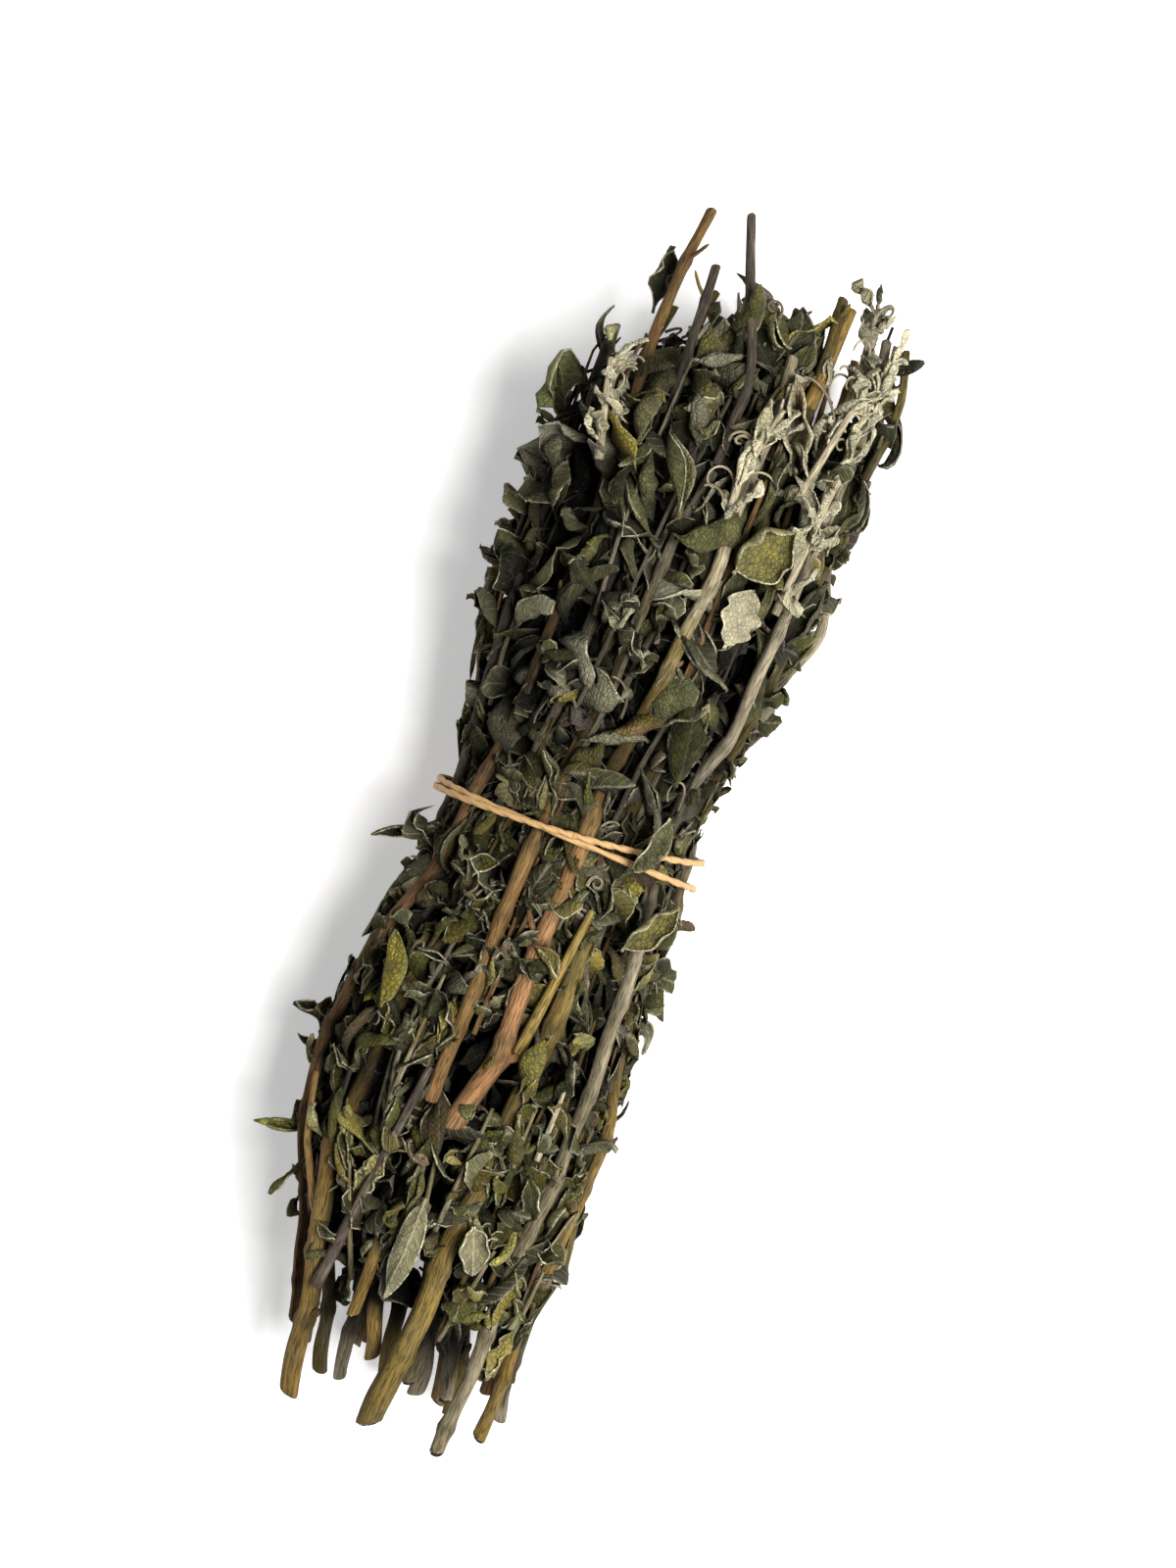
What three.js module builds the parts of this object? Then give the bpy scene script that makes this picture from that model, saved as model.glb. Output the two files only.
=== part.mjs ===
// Bundle of dried sage, lying on its side: two dozen sprigs, each a woody stem with a
// mass of dried leaves beside it, tied round the waist by one rubber band wound twice.
// Millimetres. +X runs from the cut stem ends to the leaf tips, +Y across, +Z up.
import * as THREE from 'three';

// Lengths along the bundle, measured from the band.
const TAIL_LENGTH = 141;
const HEAD_LENGTH = 141;
const TAIL_BELLY_REACH = 62;
const HEAD_BELLY_REACH = 45;
const HEAD_SHOULDER_REACH = 105;

// Width and height of the bundle at its stations.
const TAIL_END_WIDTH = 54;
const TAIL_END_HEIGHT = 42;
const TAIL_BELLY_WIDTH = 73;
const TAIL_BELLY_HEIGHT = 57;
const WAIST_WIDTH = 61;
const WAIST_HEIGHT = 48;
const HEAD_BELLY_WIDTH = 75;
const HEAD_BELLY_HEIGHT = 60;
const HEAD_SHOULDER_WIDTH = 76;
const HEAD_SHOULDER_HEIGHT = 59;
const HEAD_END_WIDTH = 60;
const HEAD_END_HEIGHT = 44;

// How far the bundle's middle swings across at its stations.
const TAIL_END_SWING = -5;
const TAIL_BELLY_SWING = 4;
const WAIST_SWING = 1;
const HEAD_BELLY_SWING = 1;
const HEAD_SHOULDER_SWING = -3;
const HEAD_END_SWING = -4;

// The underside is pressed flat where a belly rests, and each end hangs a little.
const UNDERSIDE_PRESS = 2.5;
const TAIL_END_DROP = 1;
const HEAD_END_DROP = 3;

const CLEARANCE = 0.3;
const GRID_STEP = 20;

// Rubber band: one loop wound twice, its two turns crossing near the top.
const STRAND_WIDTH = 1.8;
const STRAND_THICKNESS = 1.1;
const BAND_SPREAD = 3.6;
const BAND_CROSSING_ANGLE = 78;
const BAND_TURNS = 2;
const BAND_STEPS = 88;
const BAND_SIDES = 6;
const OVERPASS_FLAT = 42;
const OVERPASS_END = 68;

// Stems and leaf masses. Shares are of the way from the bundle's middle to its outside.
const STEM_SIDES = 6;
const STEM_SINK_TAIL = 0.3;
const STEM_SINK_HEAD = 0.8;
const FOLIAGE_SIDES = 8;
const FOLIAGE_SQUARENESS = 0.6;
const FOLIAGE_LUMP = 0.2;
const FOLIAGE_END_SHARE = 0.4;
const OUTER_RING_SHARE = 0.64;
const INNER_RING_SHARE = 0.27;
const CORE_START_SHARE = 0.02;

// Sprigs inside the ring: how many, how far they turn from station to station, and the
// least and most of each length.
const INNER_SPRIGS = 7;
const INNER_TWIST = 3;
const INNER_STEM = { base: 3.4, tip: 1.6 };
const INNER_TAIL_TRIM = [3, 18];
const INNER_HEAD_TRIM = [16, 32];
const INNER_BARE = [16, 32];
const INNER_CROWN = [18, 28];
const CORE_SPRIG = { angle: 180, tailTrim: 8, headTrim: 22, bare: 24, crown: 26, base: 3.8, tip: 1.6 };

// Uneven numbers that scatter() stirs its inputs with.
const SCATTER_STRIDES = [12.9898, 78.233, 37.719];
const SCATTER_GAIN = 43758.5453;

// Single leaves that lie on the outside.
const LEAF_THICKNESS = 1.6;
const LEAF_EDGE_RISE = 1.2;

const COLOURS = {
  stem: new THREE.MeshStandardMaterial({ color: '#6e5c40', roughness: 0.85, metalness: 0 }),
  foliage: new THREE.MeshStandardMaterial({ color: '#6b6c50', roughness: 0.95, metalness: 0 }),
  leaf: new THREE.MeshStandardMaterial({ color: '#8a8a66', roughness: 0.95, metalness: 0 }),
  band: new THREE.MeshStandardMaterial({ color: '#d9a763', roughness: 0.6, metalness: 0 }),
};

const seatHalf = BAND_SPREAD + STRAND_WIDTH / 2 + CLEARANCE;
const bandStack = BAND_TURNS * (STRAND_THICKNESS + CLEARANCE);
const tailBellyRise = TAIL_BELLY_HEIGHT / 2 - UNDERSIDE_PRESS;
const headBellyRise = HEAD_BELLY_HEIGHT / 2 - UNDERSIDE_PRESS;
const waistRise = Math.max((tailBellyRise + headBellyRise) / 2, WAIST_HEIGHT / 2 + bandStack + CLEARANCE);

// The bundle's outside at each station: x, half width, half height, swing across, rise.
const STATIONS = [
  [-TAIL_LENGTH, TAIL_END_WIDTH / 2, TAIL_END_HEIGHT / 2, TAIL_END_SWING, tailBellyRise - TAIL_END_DROP],
  [-TAIL_BELLY_REACH, TAIL_BELLY_WIDTH / 2, TAIL_BELLY_HEIGHT / 2, TAIL_BELLY_SWING, tailBellyRise],
  [-seatHalf, WAIST_WIDTH / 2, WAIST_HEIGHT / 2, WAIST_SWING, waistRise],
  [seatHalf, WAIST_WIDTH / 2, WAIST_HEIGHT / 2, WAIST_SWING, waistRise],
  [HEAD_BELLY_REACH, HEAD_BELLY_WIDTH / 2, HEAD_BELLY_HEIGHT / 2, HEAD_BELLY_SWING, headBellyRise],
  [HEAD_SHOULDER_REACH, HEAD_SHOULDER_WIDTH / 2, HEAD_SHOULDER_HEIGHT / 2, HEAD_SHOULDER_SWING,
    HEAD_SHOULDER_HEIGHT / 2 - UNDERSIDE_PRESS],
  [HEAD_LENGTH, HEAD_END_WIDTH / 2, HEAD_END_HEIGHT / 2, HEAD_END_SWING, headBellyRise - HEAD_END_DROP],
];

// Sprigs of the outer ring. Each stem's angle round the bundle, in degrees from +Y
// towards +Z, is given at the tail end, tail belly, waist, head belly, shoulder and tips.
// Then come the trims, how far the stem stops short of the bundle's two ends; the stem's
// diameters at its base and tip; bare, the stretch of stem below its leaves; and crown,
// how far the leaves stop short of the tips.
const OUTER_SPRIGS = [
  [[-24, -12, 8, 27, 22, 15], 9, 34, 3.6, 1.8, 26, 30],
  [[-2, 13, 37, 54, 50, 38], 14, 1, 3, 2.4, 20, 26],
  [[21, 46, 57, 71, 66, 55], 0, 14, 4.8, 2, 36, 20],
  [[60, 81, 77, 88, 92, 64], 75, 0, 3.6, 2, 8, 18],
  [[72, 92, 98, 106, 104, 98], 71, 28, 4.8, 2.4, 12, 20],
  [[84, 113, 117, 121, 117, 119], 2, 11, 5.6, 2.4, 22, 15],
  [[124, 141, 148, 139, 142, 145], 0, 16, 3.7, 2.2, 30, 12],
  [[147, 165, 166, 163, 171, 175], 5, 15, 3.4, 2, 26, 14],
  [[172, 186, 188, 187, 191, 194], 18, 22, 4, 1.8, 18, 18],
  [[194, 206, 208, 209, 211, 213], 8, 30, 3.2, 1.8, 24, 24],
  [[216, 226, 229, 231, 232, 233], 12, 18, 4.4, 2, 28, 20],
  [[237, 247, 250, 253, 253, 254], 4, 26, 3.6, 1.8, 20, 22],
  [[257, 267, 271, 276, 275, 275], 16, 12, 4.2, 1.8, 26, 18],
  [[277, 288, 293, 299, 297, 296], 6, 24, 3.4, 1.8, 22, 24],
  [[297, 308, 316, 322, 319, 317], 11, 20, 4, 2, 24, 20],
  [[316, 328, 340, 346, 342, 338], 3, 30, 3.2, 1.8, 30, 28],
].map(([angles, tailTrim, headTrim, base, tip, bare, crown]) => (
  { angles, tailTrim, headTrim, base, tip, bare, crown }
));

// A thinner cut stem that fills the track of the fourth sprig below its cut end.
const SHORT_STEM = { track: 3, tailTrim: 23, endGap: 3, base: 2.8, tip: 2.6 };

// Single leaves: place along and round the bundle, length, width and turn in degrees
// from the bundle's own direction.
const LEAVES = [
  { name: 'leaf_cupped', x: 71, angle: 117, length: 15, width: 14, turn: 20 },
  { name: 'leaf_grey', x: 55, angle: 120, length: 14, width: 10, turn: 8 },
  { name: 'leaf_dark', x: 27, angle: 121, length: 17, width: 7, turn: -8 },
  { name: 'leaf_over_band', x: 2, angle: 122, length: 16, width: 7.5, turn: 12, overBand: true },
  { name: 'leaf_folded', x: -15, angle: 134, length: 12, width: 8, turn: 24 },
  { name: 'leaf_veined', x: -99, angle: 84, length: 22, width: 8, turn: 12 },
  { name: 'leaf_round', x: -95, angle: 108, length: 11, width: 8.5, turn: -6 },
  { name: 'leaf_olive', x: -43, angle: 35, length: 14, width: 5.5, turn: -10 },
];

const radians = THREE.MathUtils.degToRad;
const degrees = THREE.MathUtils.radToDeg;

// Positions along X that every piece shares, so that neighbours keep their gap.
const GRID = STATIONS.slice(1).flatMap(([end], index) => {
  const [start] = STATIONS[index];
  const steps = Math.ceil((end - start) / GRID_STEP);
  return Array.from({ length: steps }, (_, step) => start + (end - start) * (step / steps));
}).concat(HEAD_LENGTH);

// Values given at positions, joined by curves that are level at each one.
function eased(positions, values, x) {
  const after = positions.findIndex((position, index) => index > 0 && x <= position);
  const end = after < 0 ? positions.length - 1 : after;
  const share = THREE.MathUtils.smoothstep(x, positions[end - 1], positions[end]);
  return THREE.MathUtils.lerp(values[end - 1], values[end], share);
}

// A smooth curve followed in straight steps between the grid's positions.
function stepped(curve, x) {
  const after = GRID.findIndex((position, index) => index > 0 && x <= position);
  const end = after < 0 ? GRID.length - 1 : after;
  const share = (x - GRID[end - 1]) / (GRID[end] - GRID[end - 1]);
  return THREE.MathUtils.lerp(curve(GRID[end - 1]), curve(GRID[end]), share);
}

const stationX = STATIONS.map(([x]) => x);
const trackX = stationX.filter((x) => x !== seatHalf);
const stationCurve = (column) => (x) => eased(stationX, STATIONS.map((station) => station[column]), x);

// The bundle's cross-section at x: an ellipse and where its middle is.
function section(x) {
  const [halfWidth, halfHeight, swing, rise] = [1, 2, 3, 4].map((column) => stepped(stationCurve(column), x));
  return { halfWidth, halfHeight, swing, rise };
}

// The point at a share of the way out, at an angle round the bundle, never below z = 0.
function place(x, share, angle, outward = 0) {
  const { halfWidth, halfHeight, swing, rise } = section(x);
  const normal = new THREE.Vector2(halfHeight * Math.cos(angle), halfWidth * Math.sin(angle)).normalize();
  const y = swing + halfWidth * share * Math.cos(angle) + normal.x * outward;
  const z = rise + halfHeight * share * Math.sin(angle) + normal.y * outward;
  return new THREE.Vector3(x, y, Math.max(z, 0));
}

// Distance, square to the radial line at an angle, that one radian spans at share 1.
function spread(x, angle) {
  const { halfWidth, halfHeight } = section(x);
  return (halfWidth * halfHeight) / Math.hypot(halfWidth * Math.cos(angle), halfHeight * Math.sin(angle));
}

// Distance from the middle to the outside, measured square to the outside.
function depth(x, angle) {
  const { halfWidth, halfHeight } = section(x);
  return (halfWidth * halfHeight) / Math.hypot(halfHeight * Math.cos(angle), halfWidth * Math.sin(angle));
}

// Even scatter between 0 and 1 from whole numbers.
function scatter(...numbers) {
  const stirred = numbers.reduce((sum, number, index) => sum + number * SCATTER_STRIDES[index], 0);
  const value = Math.sin(stirred) * SCATTER_GAIN;
  return value - Math.floor(value);
}

function scatterBetween([least, most], ...numbers) {
  return THREE.MathUtils.lerp(least, most, scatter(...numbers));
}

function pad(number) {
  return String(number).padStart(2, '0');
}

// A closed tube whose ring at each x is drawn by ringPoint(x, across, outward, row).
function loft(name, material, from, to, sides, ringPoint) {
  const rows = [from, ...GRID.filter((x) => x > from + 1 && x < to - 1), to];
  const geometry = new THREE.CylinderGeometry(1, 1, 1, sides, rows.length - 1);
  const positions = geometry.attributes.position;
  for (let index = 0; index < positions.count; index += 1) {
    const row = Math.round((positions.getY(index) + 0.5) * (rows.length - 1));
    const point = ringPoint(rows[row], positions.getX(index), positions.getZ(index), row, rows.length - 1);
    positions.setXYZ(index, point.x, point.y, point.z);
  }
  geometry.computeVertexNormals();
  const mesh = new THREE.Mesh(geometry, material);
  mesh.name = name;
  return mesh;
}

// Where a sprig's stem runs: its angle, radius and share of the way out at x.
function stemTrack({ angles, share, from, to, base, tip }) {
  const angle = (x) => radians(stepped((at) => eased(trackX, angles, at), x));
  const within = (x) => THREE.MathUtils.clamp(x, from, to);
  const radius = (x) => THREE.MathUtils.mapLinear(within(x), from, to, base, tip) / 2;
  const sink = (x) => THREE.MathUtils.mapLinear(x, -TAIL_LENGTH, HEAD_LENGTH, STEM_SINK_TAIL, STEM_SINK_HEAD);
  const shareAt = (x) => share ?? 1 - (radius(x) + sink(x)) / depth(x, angle(x));
  const halfAngle = (x) => Math.asin((radius(x) + CLEARANCE) / (shareAt(x) * spread(x, angle(x))));
  return { angle, radius, shareAt, halfAngle, from, to };
}

function makeStem(name, track) {
  return loft(name, COLOURS.stem, track.from, track.to, STEM_SIDES, (x, across, outward) => {
    const angle = track.angle(x);
    const middle = place(x, track.shareAt(x), angle);
    const radius = track.radius(x);
    const y = middle.y + radius * (outward * Math.cos(angle) - across * Math.sin(angle));
    const z = middle.z + radius * (outward * Math.sin(angle) + across * Math.cos(angle));
    return new THREE.Vector3(x, y, Math.max(z, 0));
  });
}

// A lumpy mass of leaves that fills its cell: from the angle low(x) to high(x), and
// between two shares of the way out.
function makeFoliage(name, seed, from, to, low, high, inner, outer) {
  const squared = (value) => Math.sign(value) * Math.abs(value) ** FOLIAGE_SQUARENESS;
  return loft(name, COLOURS.foliage, from, to, FOLIAGE_SIDES, (x, across, outward, row, lastRow) => {
    const side = Math.round(Math.atan2(outward, across) * FOLIAGE_SIDES / (2 * Math.PI)) % FOLIAGE_SIDES;
    const lump = 1 - FOLIAGE_LUMP * scatter(seed, row, (side + FOLIAGE_SIDES) % FOLIAGE_SIDES);
    const end = row === 0 || row === lastRow ? FOLIAGE_END_SHARE : 1;
    const { halfWidth, halfHeight } = section(x);
    const gapShare = CLEARANCE / Math.min(halfWidth, halfHeight);
    const halfShare = (outer - inner) / 2 - gapShare;
    const halfAngle = (high(x) - low(x)) / 2;
    const angle = (high(x) + low(x)) / 2 + squared(across) * lump * end * halfAngle;
    const share = (outer + inner) / 2 + squared(outward) * lump * end * halfShare;
    return place(x, share, angle);
  });
}

// One ring of sprigs, each with its leaves between its own stem and the next one.
function addRing(group, sprigs, firstNumber, inner, outer) {
  const tracks = sprigs.map((sprig) => {
    const from = sprig.tailTrim - TAIL_LENGTH;
    const to = HEAD_LENGTH - sprig.headTrim;
    return stemTrack({ ...sprig, from, to });
  });
  sprigs.forEach((sprig, index) => {
    const track = tracks[index];
    const next = tracks[(index + 1) % tracks.length];
    const lap = index + 1 === tracks.length ? 2 * Math.PI : 0;
    const low = (x) => track.angle(x) + track.halfAngle(x);
    const high = (x) => next.angle(x) + lap - next.halfAngle(x);
    const number = pad(firstNumber + index);
    const from = track.from + sprig.bare;
    const to = HEAD_LENGTH - sprig.crown;
    group.add(makeStem(`stem_${number}`, track));
    group.add(makeFoliage(`foliage_${number}`, firstNumber + index, from, to, low, high, inner, outer));
  });
}

function innerSprigs() {
  const share = (INNER_RING_SHARE + OUTER_RING_SHARE) / 2;
  const pitch = 360 / INNER_SPRIGS;
  return Array.from({ length: INNER_SPRIGS }, (_, index) => ({
    ...INNER_STEM,
    angles: trackX.map((_, station) => pitch * index + INNER_TWIST * station),
    share,
    tailTrim: scatterBetween(INNER_TAIL_TRIM, index, 1),
    headTrim: scatterBetween(INNER_HEAD_TRIM, index, 2),
    bare: scatterBetween(INNER_BARE, index, 3),
    crown: scatterBetween(INNER_CROWN, index, 4),
  }));
}

// The core sprig: its stem on one side of the bundle's middle, its leaves on the other.
function addCore(group, number) {
  const { angle, tailTrim, headTrim, bare, crown, base, tip } = CORE_SPRIG;
  const angles = trackX.map(() => angle);
  const share = INNER_RING_SHARE / 2;
  const from = tailTrim - TAIL_LENGTH;
  const to = HEAD_LENGTH - headTrim;
  const track = stemTrack({ angles, share, from, to, base, tip });
  const side = (x) => Math.atan2(track.radius(x) + CLEARANCE, share * section(x).halfWidth);
  const low = (x) => side(x) - Math.PI / 2;
  const high = (x) => Math.PI / 2 - side(x);
  const range = [low, high, CORE_START_SHARE, INNER_RING_SHARE];
  group.add(makeStem(`stem_${pad(number)}`, track));
  group.add(makeFoliage(`foliage_${pad(number)}`, number, from + bare, HEAD_LENGTH - crown, ...range));
}

function makeShortStem(name) {
  const { track, tailTrim, endGap, base, tip } = SHORT_STEM;
  const above = OUTER_SPRIGS[track];
  const from = tailTrim - TAIL_LENGTH;
  const to = above.tailTrim - TAIL_LENGTH - endGap;
  return makeStem(name, stemTrack({ angles: above.angles, from, to, base, tip }));
}

// One closed strand that goes round twice. Its place along X swings once over the two
// turns, so the turns lie apart on one side and cross on the other, one over the other.
function makeBand() {
  const geometry = new THREE.TorusGeometry(2, 1, BAND_SIDES, BAND_STEPS);
  const { position, uv } = geometry.attributes;
  const crossing = radians(BAND_CROSSING_ANGLE);
  for (let index = 0; index < position.count; index += 1) {
    const turned = (uv.getX(index) % 1) * BAND_TURNS * 2 * Math.PI;
    const around = uv.getY(index) * 2 * Math.PI;
    const x = BAND_SPREAD * Math.sin(turned / BAND_TURNS);
    const fromCrossing = degrees(Math.min(turned, BAND_TURNS * 2 * Math.PI - turned));
    const lifted = 1 - THREE.MathUtils.smoothstep(fromCrossing, OVERPASS_FLAT, OVERPASS_END);
    const height = CLEARANCE + STRAND_THICKNESS / 2 + lifted * (STRAND_THICKNESS + CLEARANCE);
    const point = place(x, 1, crossing + turned, height + (STRAND_THICKNESS / 2) * Math.cos(around));
    position.setXYZ(index, point.x + (STRAND_WIDTH / 2) * Math.sin(around), point.y, point.z);
  }
  geometry.computeVertexNormals();
  const mesh = new THREE.Mesh(geometry, COLOURS.band);
  mesh.name = 'rubber_band';
  return mesh;
}

// A thin oval leaf that follows the bundle's outside, its edges turned up a little.
function makeLeaf({ name, x, angle, length, width, turn, overBand = false }) {
  const geometry = new THREE.SphereGeometry(1, 12, 6);
  const { position } = geometry.attributes;
  const lift = CLEARANCE + (overBand ? bandStack : 0) + LEAF_THICKNESS / 2;
  const cosine = Math.cos(radians(turn));
  const sine = Math.sin(radians(turn));
  for (let index = 0; index < position.count; index += 1) {
    const along = (position.getY(index) * length) / 2;
    const across = (position.getX(index) * width) / 2;
    const leafX = x + along * cosine - across * sine;
    const around = radians(angle) + (along * sine + across * cosine) / spread(leafX, radians(angle));
    const rise = LEAF_EDGE_RISE * position.getX(index) ** 2;
    const outward = lift + rise + (position.getZ(index) * LEAF_THICKNESS) / 2;
    const point = place(leafX, 1, around, outward);
    position.setXYZ(index, point.x, point.y, point.z);
  }
  geometry.computeVertexNormals();
  const mesh = new THREE.Mesh(geometry, COLOURS.leaf);
  mesh.name = name;
  return mesh;
}

// The origin is the middle of the underside of the box round everything.
function centred(group) {
  const box = new THREE.Box3().setFromObject(group, true);
  const middle = box.getCenter(new THREE.Vector3());
  group.position.set(-middle.x, -middle.y, -box.min.z);
  group.updateMatrixWorld(true);
  return group;
}

const bundle = new THREE.Group();
addRing(bundle, OUTER_SPRIGS, 1, OUTER_RING_SHARE, 1);
addRing(bundle, innerSprigs(), OUTER_SPRIGS.length + 1, INNER_RING_SHARE, OUTER_RING_SHARE);
addCore(bundle, OUTER_SPRIGS.length + INNER_SPRIGS + 1);
bundle.add(makeShortStem('stem_short'));
bundle.add(makeBand());
LEAVES.forEach((leaf) => bundle.add(makeLeaf(leaf)));

export default centred(bundle);
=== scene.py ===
"""Bundle of dried sage held by a rubber band: the looks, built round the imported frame.

Shapes are worked out in millimetres, in the frame's own axes (+X towards the leaf tips,
+Z up), and put into meshes in metres. Every shape is a set of rings: a closed strip of
points carried along a path, with a cap at both ends.
"""

import math

import bpy
import numpy as np
from mathutils import Matrix, Vector


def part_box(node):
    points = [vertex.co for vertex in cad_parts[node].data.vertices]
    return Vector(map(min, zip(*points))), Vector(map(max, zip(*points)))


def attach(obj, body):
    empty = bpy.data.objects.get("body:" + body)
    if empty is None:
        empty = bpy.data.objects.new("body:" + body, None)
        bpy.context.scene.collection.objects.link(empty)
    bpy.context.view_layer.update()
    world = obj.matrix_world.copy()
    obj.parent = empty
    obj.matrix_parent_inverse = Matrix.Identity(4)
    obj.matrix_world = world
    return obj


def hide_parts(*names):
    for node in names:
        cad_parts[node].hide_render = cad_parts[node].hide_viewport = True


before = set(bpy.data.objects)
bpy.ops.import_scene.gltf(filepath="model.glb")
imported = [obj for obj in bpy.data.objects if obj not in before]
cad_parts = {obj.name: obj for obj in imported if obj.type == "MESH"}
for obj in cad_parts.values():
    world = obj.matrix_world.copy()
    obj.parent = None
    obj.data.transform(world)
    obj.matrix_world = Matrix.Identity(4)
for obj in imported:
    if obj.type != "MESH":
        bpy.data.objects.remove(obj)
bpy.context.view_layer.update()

MM = 0.001
TURN = 2 * math.pi

OUTER_SPRIGS = range(1, 17)
INNER_SPRIGS = range(17, 25)
BAND_NODE = "rubber_band"
LEAF_NODES = sorted(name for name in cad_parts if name.startswith("leaf_"))
STEM_NODES = sorted(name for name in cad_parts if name.startswith("stem_"))


# Points and rows of the frame's own pieces.

def node_points(name):
    """The different corner points of a CAD node, in millimetres."""
    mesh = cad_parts[name].data
    points = np.empty(len(mesh.vertices) * 3)
    mesh.vertices.foreach_get("co", points)
    return np.unique(np.round(points.reshape(-1, 3) / MM, 3), axis=0)


def node_rows(name):
    """A lengthwise node's points, grouped by where they lie along X."""
    points = node_points(name)
    along = np.round(points[:, 0], 1)
    return {x: points[along == x] for x in np.unique(along)}


ROWS = {name: node_rows(name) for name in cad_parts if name.startswith(("stem_", "foliage_"))}
BAND_LOW, BAND_HIGH = (np.array(corner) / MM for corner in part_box(BAND_NODE))
BAND_X = (BAND_LOW[0] + BAND_HIGH[0]) / 2
BAND_REACH = (BAND_HIGH[0] - BAND_LOW[0]) / 2


class Envelope:
    """The bundle's outside, as the greatest distance from its middle line at each place
    along X and each angle round it, read off the frame's stems and leaf masses."""

    STEPS = 72
    LEAST_NODES = 14
    WINDOW = 0.26
    LEAST_REACH = 12.0
    # Leaves spring out past the CAD masses on the leafy half's +Y side.
    BULGE = 0.13
    BULGE_X = 86.0
    BULGE_REACH = 34.0

    def __init__(self):
        every = {}
        for rows in ROWS.values():
            for x, points in rows.items():
                every.setdefault(x, []).append(points)
        self.x = np.array(sorted(x for x, found in every.items() if len(found) >= self.LEAST_NODES))
        self.angles = np.arange(self.STEPS) * TURN / self.STEPS
        middles = []
        reaches = []
        for x in self.x:
            section = np.concatenate(every[x])[:, 1:]
            middle = (section.min(0) + section.max(0)) / 2
            middles.append(middle)
            reaches.append(self.reach_round(section - middle))
        self.middles = np.array(middles)
        leafy = np.exp(-(((self.x - self.BULGE_X) / self.BULGE_REACH) ** 2))
        sideways = np.maximum(np.cos(self.angles), 0) ** 2
        self.reaches = np.array(reaches) * (1 + self.BULGE * leafy[:, None] * sideways[None])

    def reach_round(self, section):
        """Farthest point within a window round each angle, evened out over three steps."""
        angle = np.arctan2(section[:, 1], section[:, 0])
        distance = np.hypot(section[:, 0], section[:, 1])
        apart = np.abs((angle[None] - self.angles[:, None] + math.pi) % TURN - math.pi)
        reach = np.where(apart < self.WINDOW, distance[None] * np.cos(apart), 0).max(1)
        reach = np.maximum(reach, self.LEAST_REACH)
        return (np.roll(reach, 1) + 2 * reach + np.roll(reach, -1)) / 4

    def middle(self, x):
        """The middle line's Y and Z at x."""
        return np.stack([np.interp(x, self.x, self.middles[:, axis]) for axis in (0, 1)], -1)

    def reach(self, x, angle):
        """The outside's distance from the middle line, blended between rows and angles."""
        row = np.interp(x, self.x, np.arange(len(self.x)))
        column = (angle % TURN) / TURN * self.STEPS
        row_0 = np.clip(row.astype(int), 0, len(self.x) - 2)
        column_0 = column.astype(int) % self.STEPS
        column_1 = (column_0 + 1) % self.STEPS
        down = row - row_0
        across = column - np.floor(column)
        first = self.reaches[row_0, column_0] * (1 - across) + self.reaches[row_0, column_1] * across
        second = self.reaches[row_0 + 1, column_0] * (1 - across) + self.reaches[row_0 + 1, column_1] * across
        return first * (1 - down) + second * down

    def point(self, x, angle, share):
        """The point a share of the way out from the middle line, at x and angle."""
        x, angle, share = np.broadcast_arrays(x, angle, share)
        outward = np.stack([np.cos(angle), np.sin(angle)], -1)
        flat = self.middle(x) + outward * (self.reach(x, angle) * share)[..., None]
        return np.concatenate([x[..., None], flat], -1)

    def place(self, points):
        """Each point's angle round the middle line and its share of the way out."""
        from_middle = points[..., 1:] - self.middle(points[..., 0])
        angle = np.arctan2(from_middle[..., 1], from_middle[..., 0])
        distance = np.hypot(from_middle[..., 0], from_middle[..., 1])
        return angle, distance / self.reach(points[..., 0], angle)


ENVELOPE = Envelope()


# Small helpers on whole arrays.

def smoothstep(low, high, value):
    share = np.clip((value - low) / (high - low), 0, 1)
    return share * share * (3 - 2 * share)


def unit(vectors):
    return vectors / np.maximum(np.linalg.norm(vectors, axis=-1, keepdims=True), 1e-9)


def column(values):
    """Turns one number for each leaf into a column that spreads over its rows."""
    return np.asarray(values, float)[:, None]


def running(slopes, axis):
    """The running integral of slopes that lie evenly between 0 and 1, starting from 0."""
    count = slopes.shape[axis]
    middle = (np.take(slopes, range(1, count), axis) + np.take(slopes, range(count - 1), axis)) / 2
    start = np.zeros_like(np.take(slopes, [0], axis))
    return np.concatenate([start, np.cumsum(middle, axis) / (count - 1)], axis)


def wander(length, reach, rng, step):
    """A smooth random line: random numbers evened out over a reach, about 1 high."""
    window = np.hanning(max(int(reach / step), 3) + 2)
    noise = rng.normal(size=length + len(window) - 1)
    return np.convolve(noise, window, "valid") / np.sqrt((window**2).sum())


def above_floor(points, margin=1.0):
    """Points that come near or under the floor are pressed towards it from above: below
    the margin, height falls off exponentially and never reaches zero."""
    low = points[..., 2] < margin
    pressed = margin * np.exp(np.minimum(points[..., 2] / margin - 1, 0))
    points[..., 2] = np.where(low, pressed, points[..., 2])
    return points


def squeezed(points, limit, spare=0.08):
    """Points are drawn in so that none lies beyond limit times the bundle's outside:
    past limit - spare, the share of the way out approaches the limit exponentially."""
    angle, share = ENVELOPE.place(points)
    start = limit - spare
    past = np.maximum(share - start, 0)
    share = np.where(past > 0, start + spare * (1 - np.exp(-past / spare)), share)
    return ENVELOPE.point(points[..., 0], angle, share)


# Material recipes.

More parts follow.
